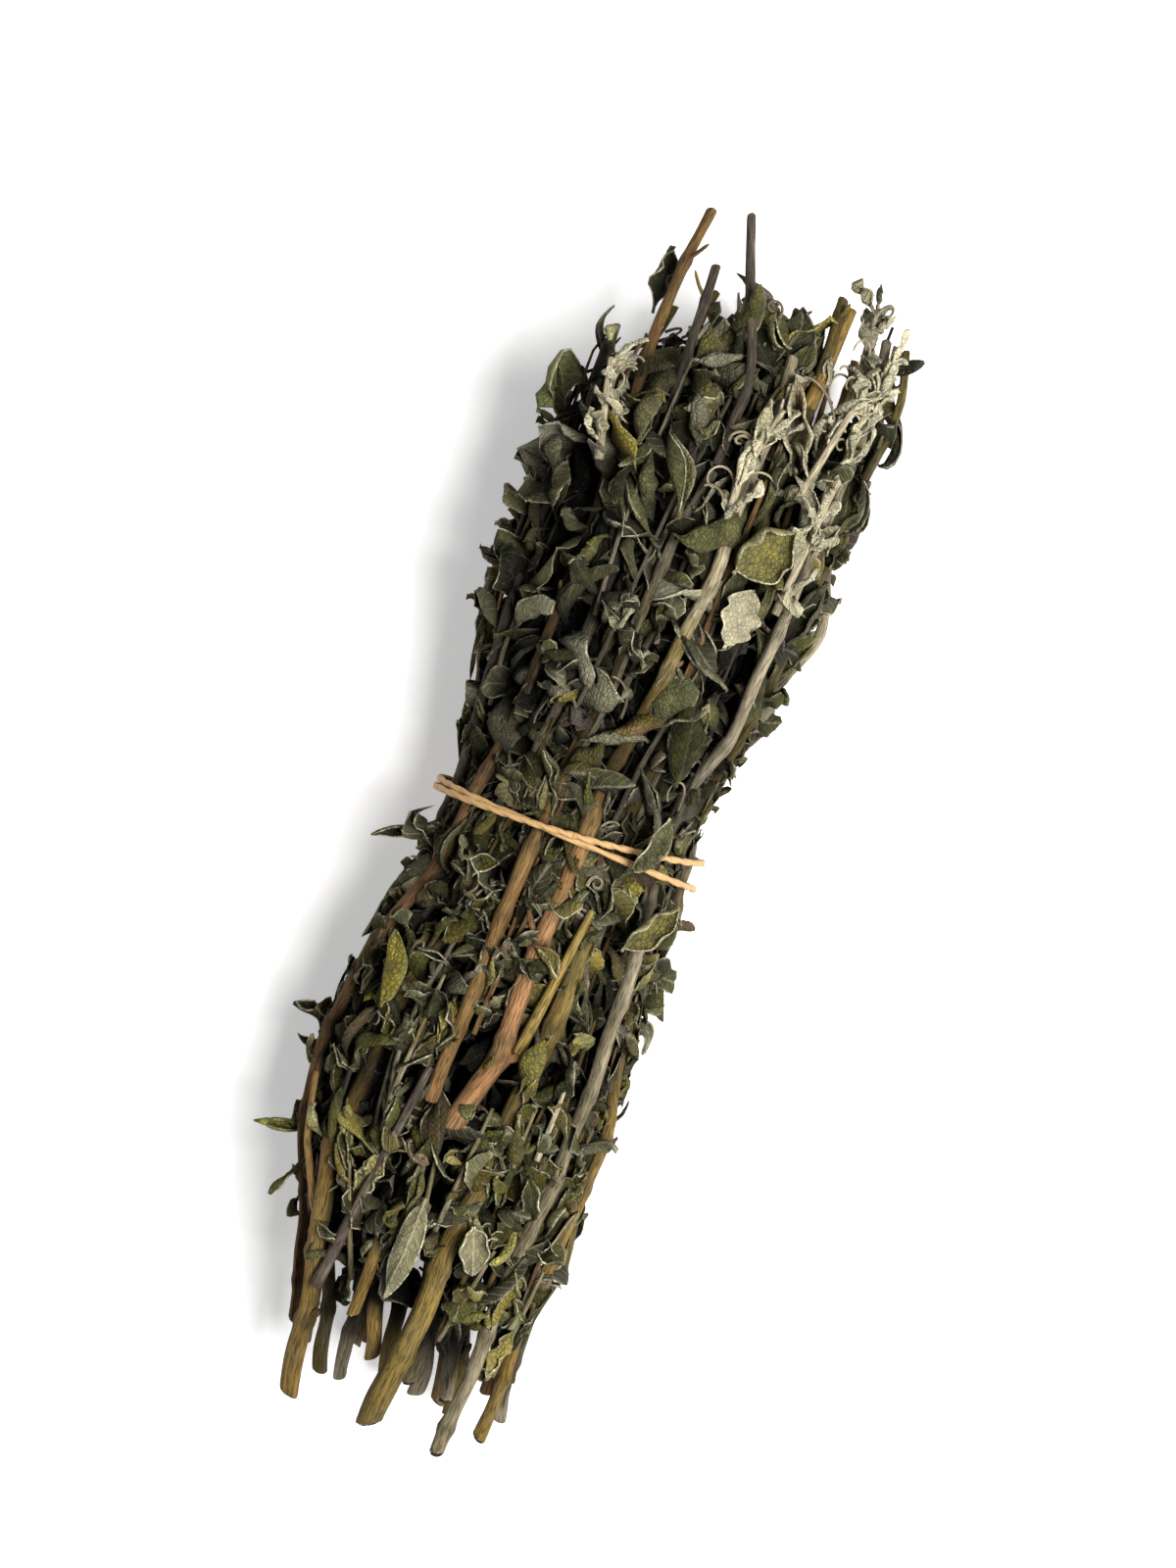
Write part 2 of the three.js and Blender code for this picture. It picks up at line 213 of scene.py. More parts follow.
class Wire:
    """A value on a shader socket. Arithmetic on it adds Math nodes."""

    def __init__(self, recipe, socket):
        self.recipe = recipe
        self.socket = socket

    def math(self, operation, *values, clamp=False):
        settings = {"operation": operation, "use_clamp": clamp}
        return self.recipe.node("ShaderNodeMath", settings, dict(enumerate(values)))

    def __add__(self, other):
        return self.math("ADD", self, other)

    def __radd__(self, other):
        return self.math("ADD", other, self)

    def __sub__(self, other):
        return self.math("SUBTRACT", self, other)

    def __rsub__(self, other):
        return self.math("SUBTRACT", other, self)

    def __mul__(self, other):
        return self.math("MULTIPLY", self, other)

    def __rmul__(self, other):
        return self.math("MULTIPLY", other, self)

    def __pow__(self, other):
        return self.math("POWER", self, other)

    def __abs__(self):
        return self.math("ABSOLUTE", self)

    def fraction(self):
        return self.math("FRACT", self)

    def clamped(self):
        return self.math("ADD", self, 0, clamp=True)

    def bump_at(self, middle, width):
        """1 where the value is at middle, falling evenly to 0 at width from it."""
        return (1 - abs(self - middle) * (1 / width)).clamped()


# Painted shade on leaves and bark by their share of the way out, standing in for the shadow deep
# in the bundle: darkest below the first share, lightening with this steepness and curve to full on the
# outside, and never quite black.
PAINTED_SHADE_FROM = 0.80
PAINTED_SHADE_RISE = 3.9
PAINTED_SHADE_CURVE = 1.4
PAINTED_SHADE_FULL = 1.15
PAINTED_SHADE_LEAST = 0.02


class Recipe:
    """One material's nodes, round a Principled shader."""

    def __init__(self, name, **constants):
        self.material = bpy.data.materials.new(name)
        self.material.use_nodes = True
        self.tree = self.material.node_tree
        self.shader = self.tree.nodes["Principled BSDF"]
        for socket, value in constants.items():
            self.shader.inputs[socket.replace("_", " ")].default_value = value

    def node(self, kind, settings=None, values=None, output=0):
        """Adds a node: its settings first, then the values or wires of its sockets."""
        made = self.tree.nodes.new(kind)
        for name, value in (settings or {}).items():
            if name == "stops":
                self.set_stops(made.color_ramp, value)
            else:
                setattr(made, name, value)
        for name, value in (values or {}).items():
            self.feed(made.inputs[name], value)
        return Wire(self, made.outputs[output])

    def feed(self, socket, value):
        if isinstance(value, Wire):
            self.tree.links.new(value.socket, socket)
        else:
            socket.default_value = value

    def set_stops(self, ramp, stops):
        while len(ramp.elements) < len(stops):
            ramp.elements.new(1)
        for element, (position, colour) in zip(ramp.elements, stops):
            element.position = position
            element.color = (*colour, 1)

    def attribute(self, name):
        return self.node("ShaderNodeAttribute", {"attribute_name": name}, output="Fac")

    def vector(self, name):
        return self.node("ShaderNodeAttribute", {"attribute_name": name}, output="Vector")

    def split(self, vector):
        first = self.node("ShaderNodeSeparateXYZ", {}, {0: vector})
        return [Wire(self, first.socket.node.outputs[axis]) for axis in range(3)]

    def joined(self, x, y, z):
        return self.node("ShaderNodeCombineXYZ", {}, {0: x, 1: y, 2: z})

    def noise(self, vector, scale, detail=2.0, rough=0.5):
        values = {"Vector": vector, "Scale": scale, "Detail": detail, "Roughness": rough}
        return self.node("ShaderNodeTexNoise", {}, values, output="Fac")

    def cells(self, vector, scale, feature="F1"):
        values = {"Vector": vector, "Scale": scale}
        return self.node("ShaderNodeTexVoronoi", {"feature": feature}, values, output="Distance")

    def ramp(self, value, stops):
        return self.node("ShaderNodeValToRGB", {"stops": stops}, {"Fac": value}, output="Color")

    def mix(self, share, first, second, blend="MIX"):
        values = {"Factor": share, 6: first, 7: second}
        settings = {"data_type": "RGBA", "blend_type": blend, "clamp_factor": True}
        return self.node("ShaderNodeMix", settings, values, output=2)

    def scaled(self, colour, by):
        """A colour made lighter or darker."""
        settings = {"operation": "SCALE"}
        return self.node("ShaderNodeVectorMath", settings, {0: colour, "Scale": by})

    def painted_depth_shade(self):
        """Painted shade: a brightness factor by the share of the way out. It is low for leaves and
        bark deep inside the bundle, where shadow falls, and full on the outside."""
        inside = ((self.attribute("share") - PAINTED_SHADE_FROM) * PAINTED_SHADE_RISE).clamped()
        return inside**PAINTED_SHADE_CURVE * PAINTED_SHADE_FULL + PAINTED_SHADE_LEAST

    def finish(self, colour, roughness, height, depth):
        """Feeds the shader, with height as a bump that is depth deep."""
        bump = self.node("ShaderNodeBump", {}, {"Height": height, "Distance": depth, "Strength": 1.0})
        self.feed(self.shader.inputs["Base Color"], colour)
        self.feed(self.shader.inputs["Roughness"], roughness)
        self.feed(self.shader.inputs["Normal"], bump)
        return self.material


DARK_OLIVE = (0.013, 0.016, 0.005)
OLIVE = (0.066, 0.063, 0.009)
GREY_GREEN = (0.062, 0.066, 0.022)
SAGE = (0.140, 0.130, 0.048)
YELLOW_OLIVE = (0.195, 0.158, 0.018)
DRY_BROWN = (0.110, 0.068, 0.033)
DUSTY_PURPLE = (0.080, 0.060, 0.050)
FELT = (0.690, 0.640, 0.450)
LEAF_STOPS = [
    (0.0, DARK_OLIVE), (0.22, OLIVE), (0.40, GREY_GREEN), (0.58, SAGE), (0.74, YELLOW_OLIVE),
    (0.88, DRY_BROWN), (1.0, DUSTY_PURPLE),
]
# For each millimetre of leaf: pebbles, side veins, and how far those lean towards the tip.
PEBBLES_PER_MM = 0.95
SIDE_VEINS_PER_MM = 0.42
SIDE_VEIN_LEAN = 1.25


def leaf_material():
    """Dried sage leaf: pebbled between a net of fine veins, with a pale felt that is
    thickest underneath, on the veins and along the margin."""
    leaf = Recipe("dried_sage_leaf", Sheen_Weight=0.02, Sheen_Roughness=0.4, Specular_IOR_Level=0.08)
    tone = leaf.attribute("tone")
    wool = leaf.attribute("wool")
    under = leaf.attribute("under")
    margin = leaf.attribute("margin")
    place = leaf.vector("leaf_place")
    across, along, _ = leaf.split(place)
    wide = abs(across)
    patches = leaf.noise(place, 0.28, 3.0, 0.6)
    pebbles = leaf.cells(place, PEBBLES_PER_MM)
    net = leaf.cells(place, PEBBLES_PER_MM, "DISTANCE_TO_EDGE")
    grain = leaf.noise(place, 5.0, 2.0, 0.7)
    side_vein = ((along - SIDE_VEIN_LEAN * wide) * SIDE_VEINS_PER_MM).fraction().bump_at(0.5, 0.11)
    midrib = wide.bump_at(0, 0.45)
    veins = (side_vein + midrib).clamped()
    mesh = (1 - net * 7).clamped()
    body = leaf.ramp((tone + (patches - 0.5) * 0.35).clamped(), LEAF_STOPS)
    mottled = 0.88 - pebbles * 0.35 + (patches - 0.5) * 1.2 + (grain - 0.5) * 0.6
    shaded = leaf.scaled(body, mottled * leaf.attribute("light"))
    rim = margin**14 * ((patches - 0.30) * 2.6).clamped()
    felt = wool * 0.62 + under * 0.02 + veins * (0.04 + under * 0.18) + mesh * 0.02 + rim * 0.85
    felt = (felt * (0.1 + patches * 1.2 + grain * 0.6)).clamped()
    colour = leaf.mix(felt, shaded, (*FELT, 1))
    # Painted shade: the colour is darkened deep inside the bundle, by the share of the way out.
    colour = leaf.scaled(colour, leaf.painted_depth_shade())
    raised = veins * (under * 1.6 - 0.6) * 0.5 + mesh * (under * 1.4 - 0.7) * 0.5
    relief = raised - pebbles * 0.6 + grain * 0.3
    return leaf.finish(colour, 0.75 + grain * 0.2, relief, 0.7 * MM)


REDDISH = (0.290, 0.152, 0.068)
OCHRE = (0.245, 0.152, 0.040)
OLIVE_WOOD = (0.155, 0.118, 0.034)
GREY_TAN = (0.350, 0.300, 0.205)
PURPLE_BROWN = (0.060, 0.044, 0.038)
PALE_WOOD = (0.640, 0.520, 0.350)
PITH = (0.240, 0.150, 0.085)
BARK_STOPS = [
    (0.0, REDDISH), (0.25, OCHRE), (0.5, OLIVE_WOOD), (0.75, GREY_TAN), (1.0, PURPLE_BROWN),
]


def bark_material():
    """Dry bark: long streaks and fine cracks along the stem, darker at the knots, and
    pale wood round a darker pith where it is cut."""
    bark = Recipe("woody_stem_bark", Specular_IOR_Level=0.15)
    tone = bark.attribute("tone")
    knot = bark.attribute("knot")
    cut = bark.attribute("cut")
    core = bark.attribute("core")
    place = bark.vector("bark_place")
    around, along, number = bark.split(place)
    streaks = bark.noise(bark.joined(around * 1.3, along * 0.09, number), 1.0, 3.0, 0.6)
    cracks = bark.noise(bark.joined(around * 4.5, along * 0.30, number), 1.0, 2.0, 0.6)
    patches = bark.noise(bark.joined(around * 0.22, along * 0.09, number), 1.0, 3.0)
    flecks = bark.noise(bark.joined(around * 2.2, along * 0.9, number), 1.0, 2.0, 0.7)
    skin = bark.ramp((tone + (patches - 0.5) * 0.36).clamped(), BARK_STOPS)
    grooves = ((cracks - 0.36) * 7).clamped() * 0.6 + 0.4
    skin = bark.scaled(skin, (0.35 + streaks * 1.35) * grooves * (1 - knot * 0.45))
    bloom = ((patches - 0.45) * 3).clamped() * 0.14 + ((flecks - 0.62) * 6).clamped() * 0.25
    skin = bark.mix(bloom, skin, (*GREY_TAN, 1))
    skin = bark.scaled(skin, bark.attribute("light"))
    wood = bark.mix(core, (*PALE_WOOD, 1), (*PITH, 1))
    wood = bark.scaled(wood, 0.6 + cracks * 0.8)
    colour = bark.mix(cut, skin, wood)
    # Painted shade: the colour is darkened deep inside the bundle, by the share of the way out.
    colour = bark.scaled(colour, bark.painted_depth_shade())
    relief = streaks * 0.8 + grooves * 0.5 + flecks * 0.25
    return bark.finish(colour, 0.70 + cracks * 0.2, relief, 0.4 * MM)


BAND_TAN = (0.530, 0.305, 0.115)
BAND_PALE = (0.660, 0.450, 0.220)


def band_material():
    """Natural rubber: pale tan, a little dusty, with fine drawn lines along the strand."""
    rubber = Recipe("tan_rubber", Specular_IOR_Level=0.4)
    place = rubber.vector("bark_place")
    around, along, _ = rubber.split(place)
    lines = rubber.noise(rubber.joined(around * 3.0, along * 0.25, 0.0), 1.0, 2.0)
    dust = rubber.noise(rubber.joined(around, along, 1.0), 1.3, 3.0, 0.6)
    colour = rubber.mix((dust * 1.4 - 0.35).clamped(), (*BAND_TAN, 1), (*BAND_PALE, 1))
    colour = rubber.scaled(colour, 0.72 + lines * 0.5)
    return rubber.finish(colour, 0.48 + dust * 0.25, lines * 0.6 + dust * 0.3, 0.2 * MM)


LEAF = leaf_material()
BARK = bark_material()
RUBBER = band_material()


# Rings into meshes.

ATTRIBUTES = {
    "tone": "FLOAT", "wool": "FLOAT", "under": "FLOAT", "margin": "FLOAT",
    "knot": "FLOAT", "cut": "FLOAT", "core": "FLOAT", "light": "FLOAT", "share": "FLOAT",
    "leaf_place": "FLOAT_VECTOR", "bark_place": "FLOAT_VECTOR",
}


# Light also comes in at the two ends of the bundle, so nothing there counts as deep for the
# painted shade: the least share of the way out, its rise at an end, and where along X each end opens.
LEAST_SHARE = 0.76
END_SHARE_RISE = 0.22
LEAF_END = (84.0, 114.0)
CUT_END = (-112.0, -134.0)


def least_share(x):
    """The share of the way out that a place at x counts for at least."""
    open_end = np.maximum(smoothstep(*LEAF_END, x), smoothstep(*CUT_END, x))
    return LEAST_SHARE + END_SHARE_RISE * open_end


def fill(items, name, values, kind=np.float32):
    """Sets one property of all of a mesh's points, corners or faces from an array."""
    items.foreach_set(name, np.asarray(values).astype(kind).ravel())


class Shells:
    """Closed shells gathered from batches of rings, written out as one mesh. A batch has
    the shape (shell, row, place round the ring, 3); rings run anticlockwise seen from
    the end that the shell grows towards, so faces point outwards."""

    UV_GAP = 0.06
    CAP_SHARE = 0.04

    def __init__(self):
        self.batches = []

    def add(self, rings, material, **values):
        """Takes a batch, with its attributes as arrays or numbers that spread over it."""
        full = {}
        # The share of the way out is kept for the materials' painted shade, raised at the open ends.
        _, share = ENVELOPE.place(rings)
        share = np.maximum(share, least_share(rings[..., 0]))
        values = {"light": 1.0, "share": share, **values}
        for name, kind in ATTRIBUTES.items():
            wide = kind == "FLOAT_VECTOR"
            shape = rings.shape if wide else rings.shape[:3]
            value = values.get(name, 0.0)
            full[name] = np.broadcast_to(value, shape).reshape(-1, 3 if wide else 1)
        self.batches.append((rings, material, full))

    def faces(self, shape):
        """Side faces row by row, then both caps as strips across the ring."""
        _, rows, round_ = shape
        row = np.arange(rows - 1)[:, None] * round_
        here = np.arange(round_)[None]
        after = (here + 1) % round_
        quads = [row + here, row + after, row + round_ + after, row + round_ + here]
        sides = np.stack(quads, -1).reshape(-1, 4)
        near = np.arange(round_ // 2 - 1)
        far = round_ - 1 - near
        start = np.stack([near, far, far - 1, near + 1], -1)
        end = np.stack([near, near + 1, far - 1, far], -1) + (rows - 1) * round_
        return np.concatenate([sides, start, end])

    def layout(self, shape):
        """Corner places of one shell's faces on a unit square: the sides unrolled, the
        caps in strips below and above them."""
        _, rows, round_ = shape
        low, high = self.CAP_SHARE, 1 - self.CAP_SHARE
        v = low + (high - low) * np.linspace(0, 1, rows)
        u = np.linspace(0, 1, round_ + 1)
        u_0, v_0 = np.meshgrid(u[:-1], v[:-1])
        u_1, v_1 = np.meshgrid(u[1:], v[1:])
        corners = ((u_0, v_0), (u_1, v_0), (u_1, v_1), (u_0, v_1))
        sides = np.stack([np.stack(pair, -1) for pair in corners], 2)
        near = np.arange(round_ // 2 - 1) / round_ * 2
        step = 2 / round_
        start = self.strip(near, near + step, low * 0.9, 0.0, flip=True)
        end = self.strip(near, near + step, high + low * 0.1, 1.0, flip=False)
        return np.concatenate([sides.reshape(-1, 4, 2), start, end])

    def strip(self, left, right, inner, outer, flip):
        """A row of squares for a cap, between two heights."""
        inner = np.full_like(left, inner)
        outer = np.full_like(left, outer)
        corners = [(left, inner), (left, outer), (right, outer), (right, inner)]
        if not flip:
            corners = [corners[index] for index in (0, 3, 2, 1)]
        return np.stack([np.stack(pair, -1) for pair in corners], 1)

    def uv(self, shape, bottom, top):
        """Every shell of a batch in its own cell of the band between bottom and top."""
        count = shape[0]
        unit_map = self.layout(shape)
        columns = max(1, math.ceil(math.sqrt(count / (top - bottom))))
        lines = math.ceil(count / columns)
        cell = np.arange(count)
        corner = np.stack([cell % columns, cell // columns], -1) + self.UV_GAP / 2
        size = np.array([1 / columns, (top - bottom) / lines])
        placed = (corner[:, None, None] + unit_map[None] * (1 - self.UV_GAP)) * size
        return (placed + np.array([0, bottom])).reshape(-1, 2)

    def mesh(self, name):
        """All batches as one mesh, with its materials, UV map and attributes."""
        weights = np.array([self.area(rings) for rings, _, _ in self.batches])
        edges = np.concatenate([[0], np.cumsum(weights / weights.sum())])
        points, faces, uvs, slots, materials = [], [], [], [], []
        start = 0
        for (rings, material, _), bottom, top in zip(self.batches, edges[:-1], edges[1:]):
            shape = rings.shape[:3]
            if material not in materials:
                materials.append(material)
            offsets = start + np.arange(shape[0]) * shape[1] * shape[2]
            batch = (self.faces(shape)[None] + offsets[:, None, None]).reshape(-1, 4)
            points.append(rings.reshape(-1, 3))
            faces.append(batch)
            uvs.append(self.uv(shape, bottom, top))
            slots.append(np.full(len(batch), materials.index(material)))
            start += rings.size // 3
        points, faces = np.concatenate(points) * MM, np.concatenate(faces)
        mesh = bpy.data.meshes.new(name)
        mesh.vertices.add(len(points))
        fill(mesh.vertices, "co", points)
        mesh.loops.add(faces.size)
        fill(mesh.loops, "vertex_index", faces, np.int32)
        mesh.polygons.add(len(faces))
        fill(mesh.polygons, "loop_start", np.arange(len(faces)) * 4, np.int32)
        for material in materials:
            mesh.materials.append(material)
        fill(mesh.polygons, "material_index", np.concatenate(slots), np.int32)
        fill(mesh.polygons, "use_smooth", np.ones(len(faces)), bool)
        fill(mesh.uv_layers.new(name="OFBake").uv, "vector", np.concatenate(uvs))
        for key, kind in ATTRIBUTES.items():
            value = np.concatenate([full[key] for _, _, full in self.batches])
            if value.any():
                attribute = mesh.attributes.new(key, kind, "POINT")
                fill(attribute.data, "vector" if kind == "FLOAT_VECTOR" else "value", value)
        mesh.update(calc_edges=True)
        mesh.validate()
        return mesh

    def area(self, rings):
        """A batch's side area, from the length of its ring edges and row steps."""
        around = np.linalg.norm(rings - np.roll(rings, 1, 2), axis=-1).sum(2).mean()
        along = np.linalg.norm(np.diff(rings, axis=1), axis=-1).mean(2).sum(1).mean()
        return rings.shape[0] * around * along


def add_piece(name, shells, slot, *replaced):
    """One finished piece: its object, the body it rides on, and its nodes. Its slot is not used."""
    piece = bpy.data.objects.new(name, shells.mesh(name))
    bpy.context.scene.collection.objects.link(piece)
    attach(piece, "root")
    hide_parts(*replaced)
    return piece


# Woody stems and twigs.

def swept(paths, radii, sides, profile=None):
    """Rings square to each path. At each point a ring's axes are the path's direction,
    the part of +Z square to it, and their cross product; a ring point lies at radius
    times profile from the path. Shape (path, row, side, 3)."""
    ahead = unit(np.gradient(paths, axis=1))
    up = np.array([0.0, 0.0, 1.0])
    upward = unit(up - ahead * (ahead @ up)[..., None])
    aside = np.cross(upward, ahead)
    angle = np.arange(sides) * TURN / sides
    shape = np.ones((1, 1, sides)) if profile is None else profile
    reach = radii[..., None] * shape
    across = aside[:, :, None] * (np.cos(angle)[:, None] * reach[..., None])
    return paths[:, :, None] + across + upward[:, :, None] * (np.sin(angle)[:, None] * reach[..., None])


def round_place(rings, number):
    """Millimetres round the ring and along the path, for streaks that follow a stem."""
    shells, rows, sides = rings.shape[:3]
    width = np.linalg.norm(rings[:, :, 0] - rings[:, :, sides // 2], axis=-1).mean(1)
    around = np.abs(np.arange(sides) / sides * 2 - 1)[None, None] * width[:, None, None] * math.pi / 2
    steps = np.linalg.norm(np.diff(rings.mean(2), axis=1), axis=-1)
    along = np.concatenate([np.zeros((shells, 1)), np.cumsum(steps, 1)], 1)[..., None]
    parts = np.broadcast_arrays(around, along, number[:, None, None])
    return np.stack(parts, -1)


STEM_STEP = 1.1
STEM_RING = 16
KNOT_SPACING = 21.0
KNOT_SHIFT = 5.0
KNOT_WIDTH = 1.5
# Shares of a stem's radius.
KNOT_SWELL = 0.24
SLOW_SWELL = 0.05
CORNER_RIDGE = 0.055
FINE_RIDGE = 0.03
# Rows that close a stem's end, from its last whole ring inwards to the pith: their radius,
# how far each is drawn back into the stem, and where cut wood and pith show.
END_RADIUS = np.array([1.0, 0.93, 0.80, 0.36, 0.12])
END_DRAWN_BACK = np.array([0.25, 0.0, 0.0, 0.04, 0.22])
END_CUT = np.array([0.0, 0.0, 1.0, 1.0, 1.0])
END_PITH = np.array([0.0, 0.0, 0.0, 0.0, 1.0])
END_OVERHANG = 0.3
CUT_SLANT = 0.5
TIP_SLANT = -0.25
STUB_TAPER = np.array([1.25, 1.05, 0.95, 0.92, 0.9, 0.9, 0.86, 0.45])
STUB_SIDES = 8

# Bark at each stem's cut end and at its tip, as tone (0 reddish, 0.25 ochre, 0.5 olive,
# 0.75 grey-tan, 1 purple-brown) and lightness. Other stems get theirs at random.
STEM_LOOKS = {
    "stem_01": ((0.95, 1.2), (0.92, 1.0)), "stem_02": ((0.04, 0.6), (0.14, 0.8)),
    "stem_03": ((0.27, 1.0), (0.95, 1.0)), "stem_04": ((0.14, 0.9), (0.94, 1.0)),
    "stem_05": ((0.03, 1.3), (0.72, 1.25)), "stem_06": ((0.42, 1.1), (0.50, 0.9)),
    "stem_07": ((0.70, 1.0), (0.80, 1.0)), "stem_08": ((0.33, 1.1), (0.50, 1.0)),
    "stem_short": ((0.30, 0.7), (0.30, 0.6)),
}
# Tones drawn at random stop short of purple-brown, which only the stems above have.
LAST_DRAWN_TONE = 0.84
# Along X: how far a stem swings aside from its CAD line, in millimetres.
STEM_SWINGS = {"stem_05": ((-70, -53, -24, 10), (0.0, -3.6, -0.6, 0.0))}
# Along X: how deep a stem sinks in among the leaves, in millimetres.
STEM_DEPTHS = {
    "stem_01": ((-60, -40, 0, 40, 110), (0.0, 2.0, 1.0, 3.0, 1.0)),
    "stem_02": ((0, 20, 80, 105), (0.0, 3.0, 2.6, 0.0)),
    "stem_03": ((-84, -66, 90, 110), (0.0, 3.0, 3.0, 0.0)),
    "stem_04": ((-10, 15, 80, 100), (0.0, 2.6, 2.6, 0.0)),
    "stem_05": ((0, 12, 28, 38, 72, 90), (0.0, 2.6, 2.6, -1.6, -1.6, 0.0)),
    "stem_06": ((-30, -12, 100, 120), (0.0, 3.0, 3.0, 0.0)),
    "stem_07": ((-20, -5, 14, 30, 70, 90), (0.0, 2.6, 2.6, -1.4, -1.4, 0.0)),
    "stem_08": ((-60, -40, 90, 115), (0.0, 2.4, 2.4, 0.0)),
}
# The other stems sink in slow waves, this far apart and this deep, and swing aside more
# than the ones on top.
DEPTH_WAVE = 75.0
DEPTH_REACH = 4.2
TOP_STEM_SWING = 0.4
HIDDEN_STEM_SWING = 1.0
# Places along X where a stem has a knot, besides the ones at random.
STEM_KNOTS = {"stem_05": (-53.0, -27.0)}


def stem_line(name):
    """A stem's middle line and radius at even steps along X, from the frame's rings,
    evened out so that the frame's corners don't show."""
    rows = ROWS[name]
    knots = np.array(sorted(rows))
    middles = np.array([rows[x].mean(0) for x in knots])
    radii = np.array([np.linalg.norm(rows[x] - rows[x].mean(0), axis=1).max() for x in knots])
    count = int((knots[-1] - knots[0]) / STEM_STEP) + 1
    x = np.linspace(knots[0], knots[-1], count)
    window = np.hanning(19)[1:-1]
    window /= window.sum()

    def evened(values):
        line = np.interp(x, knots, values)
        padded = np.concatenate([2 * line[0] - line[8:0:-1], line, 2 * line[-1] - line[-2:-10:-1]])
        return np.convolve(padded, window, "valid")

    return x, evened(middles[:, 1]), evened(middles[:, 2]), evened(radii)


def with_cut_ends(path, radius):
    """Puts rows that close a stem in place of its first and last ones: a rounded edge,
    then the cut face, drawn in to the pith. Returns the path, its radii, and each row's
    cut, pith and slant."""
    ends = []
    for end, ahead in ((0, path[0] - path[1]), (-1, path[-1] - path[-2])):
        ahead = ahead / np.linalg.norm(ahead)
        ends.append(path[end] + ahead * (END_OVERHANG - END_DRAWN_BACK)[:, None] * radius[end])
    path = np.concatenate([ends[0][::-1], path[1:-1], ends[1]])
    whole = radius[1:-1]
    radius = np.concatenate([radius[0] * END_RADIUS[::-1], whole, radius[-1] * END_RADIUS])
    uncut = np.zeros(len(whole))
    cut = np.concatenate([END_CUT[::-1], uncut, END_CUT])
    core = np.concatenate([END_PITH[::-1], uncut, END_PITH])
    near, far = np.full(len(END_CUT), CUT_SLANT), np.full(len(END_CUT), TIP_SLANT)
    slant = np.concatenate([near, uncut, far])
    return path, radius, cut, core, slant


def woody(shells, path, radius, look, number, rng, extra_knots):
    """A stem with soft ridges along it, knots where leaves grew, and cut ends. Its
    section is radius times 1 + a four-sided ridge + a finer one + slow swelling."""
    path, radius, cut, core, slant = with_cut_ends(path, radius)
    along = np.concatenate([[0], np.cumsum(np.linalg.norm(np.diff(path, axis=0), axis=1))])
    knots = np.arange(rng.uniform(6, KNOT_SPACING), along[-1] - 4, KNOT_SPACING)
    knots = knots + rng.uniform(-KNOT_SHIFT, KNOT_SHIFT, len(knots))
    knots = np.concatenate([knots, np.interp(extra_knots, path[:, 0], along)])
    near = np.exp(-(((along[:, None] - knots[None]) / KNOT_WIDTH) ** 2)).sum(1)
    angle = np.arange(STEM_RING)[None] * TURN / STEM_RING
    turned = (rng.uniform(0, TURN) + along * rng.uniform(-0.012, 0.012))[:, None]
    ridge = CORNER_RIDGE * np.cos(4 * (angle + turned)) + FINE_RIDGE * np.cos(7 * angle + 2 * turned)
    swell = SLOW_SWELL * wander(len(along), 14, rng, STEM_STEP) + KNOT_SWELL * near
    profile = np.where(cut[:, None] > 0, 1, 1 + ridge + swell[:, None])
    rings = swept(path[None], radius[None], STEM_RING, profile[None])
    tilt = slant[:, None] * np.sin(angle + number) * radius[:, None]
    rings = rings + unit(np.gradient(path, axis=0))[None, :, None] * tilt[None, :, :, None]
    blend = smoothstep(0.25, 0.8, along / along[-1])
    tones, lights = (first + (last - first) * blend for first, last in zip(*look))
    values = {"tone": tones, "light": lights, "cut": cut, "core": core, "knot": near}
    values = {name: value[None, :, None] for name, value in values.items()}
    place = round_place(rings, np.array([number * 7.3]))
    shells.add(above_floor(rings), BARK, bark_place=place, **values)
    return path, knots, along


def stub_rings(starts, directions, lengths, radii, rng):
    """Short side stubs: each a path of straight steps bent a little towards +X, its
    radius wide at the foot and even after it."""
    t = np.linspace(0, 1, len(STUB_TAPER))[None, :, None]
    bend = np.array([1.0, 0.0, 0.0]) * rng.uniform(0.0, 0.35, len(starts))[:, None]
    paths = starts[:, None] + (directions[:, None] * t + bend[:, None] * t * t) * lengths[:, None, None]
    return swept(paths, radii[:, None] * STUB_TAPER[None], STUB_SIDES)


def stem_path(name, index, rng):
    """A stem's line, moved off its CAD line by small swings and by how deep it sinks in
    among the leaves, but not where the band grips it."""
    x, y, z, radius = stem_line(name)
    path = np.stack([x, y, z], 1)
    free = 1 - np.exp(-(((x - BAND_X) / 12) ** 2))
    swing = free * (TOP_STEM_SWING if name in STEM_DEPTHS else HIDDEN_STEM_SWING)
    path[:, 1] += swing * wander(len(x), 30, rng, STEM_STEP)
    path[:, 2] += swing * wander(len(x), 30, rng, STEM_STEP)
    if name in STEM_SWINGS:
        path[:, 1] += np.interp(x, *STEM_SWINGS[name])
    if name in STEM_DEPTHS:
        depth = np.interp(x, *STEM_DEPTHS[name])
    else:
        slow = np.sin((x - x[0]) / DEPTH_WAVE * TURN + index)
        depth = free * smoothstep(0, 25, x - x[0]) * DEPTH_REACH * (0.5 + 0.5 * slow)
    path[:, 1:] += unit(ENVELOPE.middle(x) - path[:, 1:]) * depth[:, None]
    return path, radius


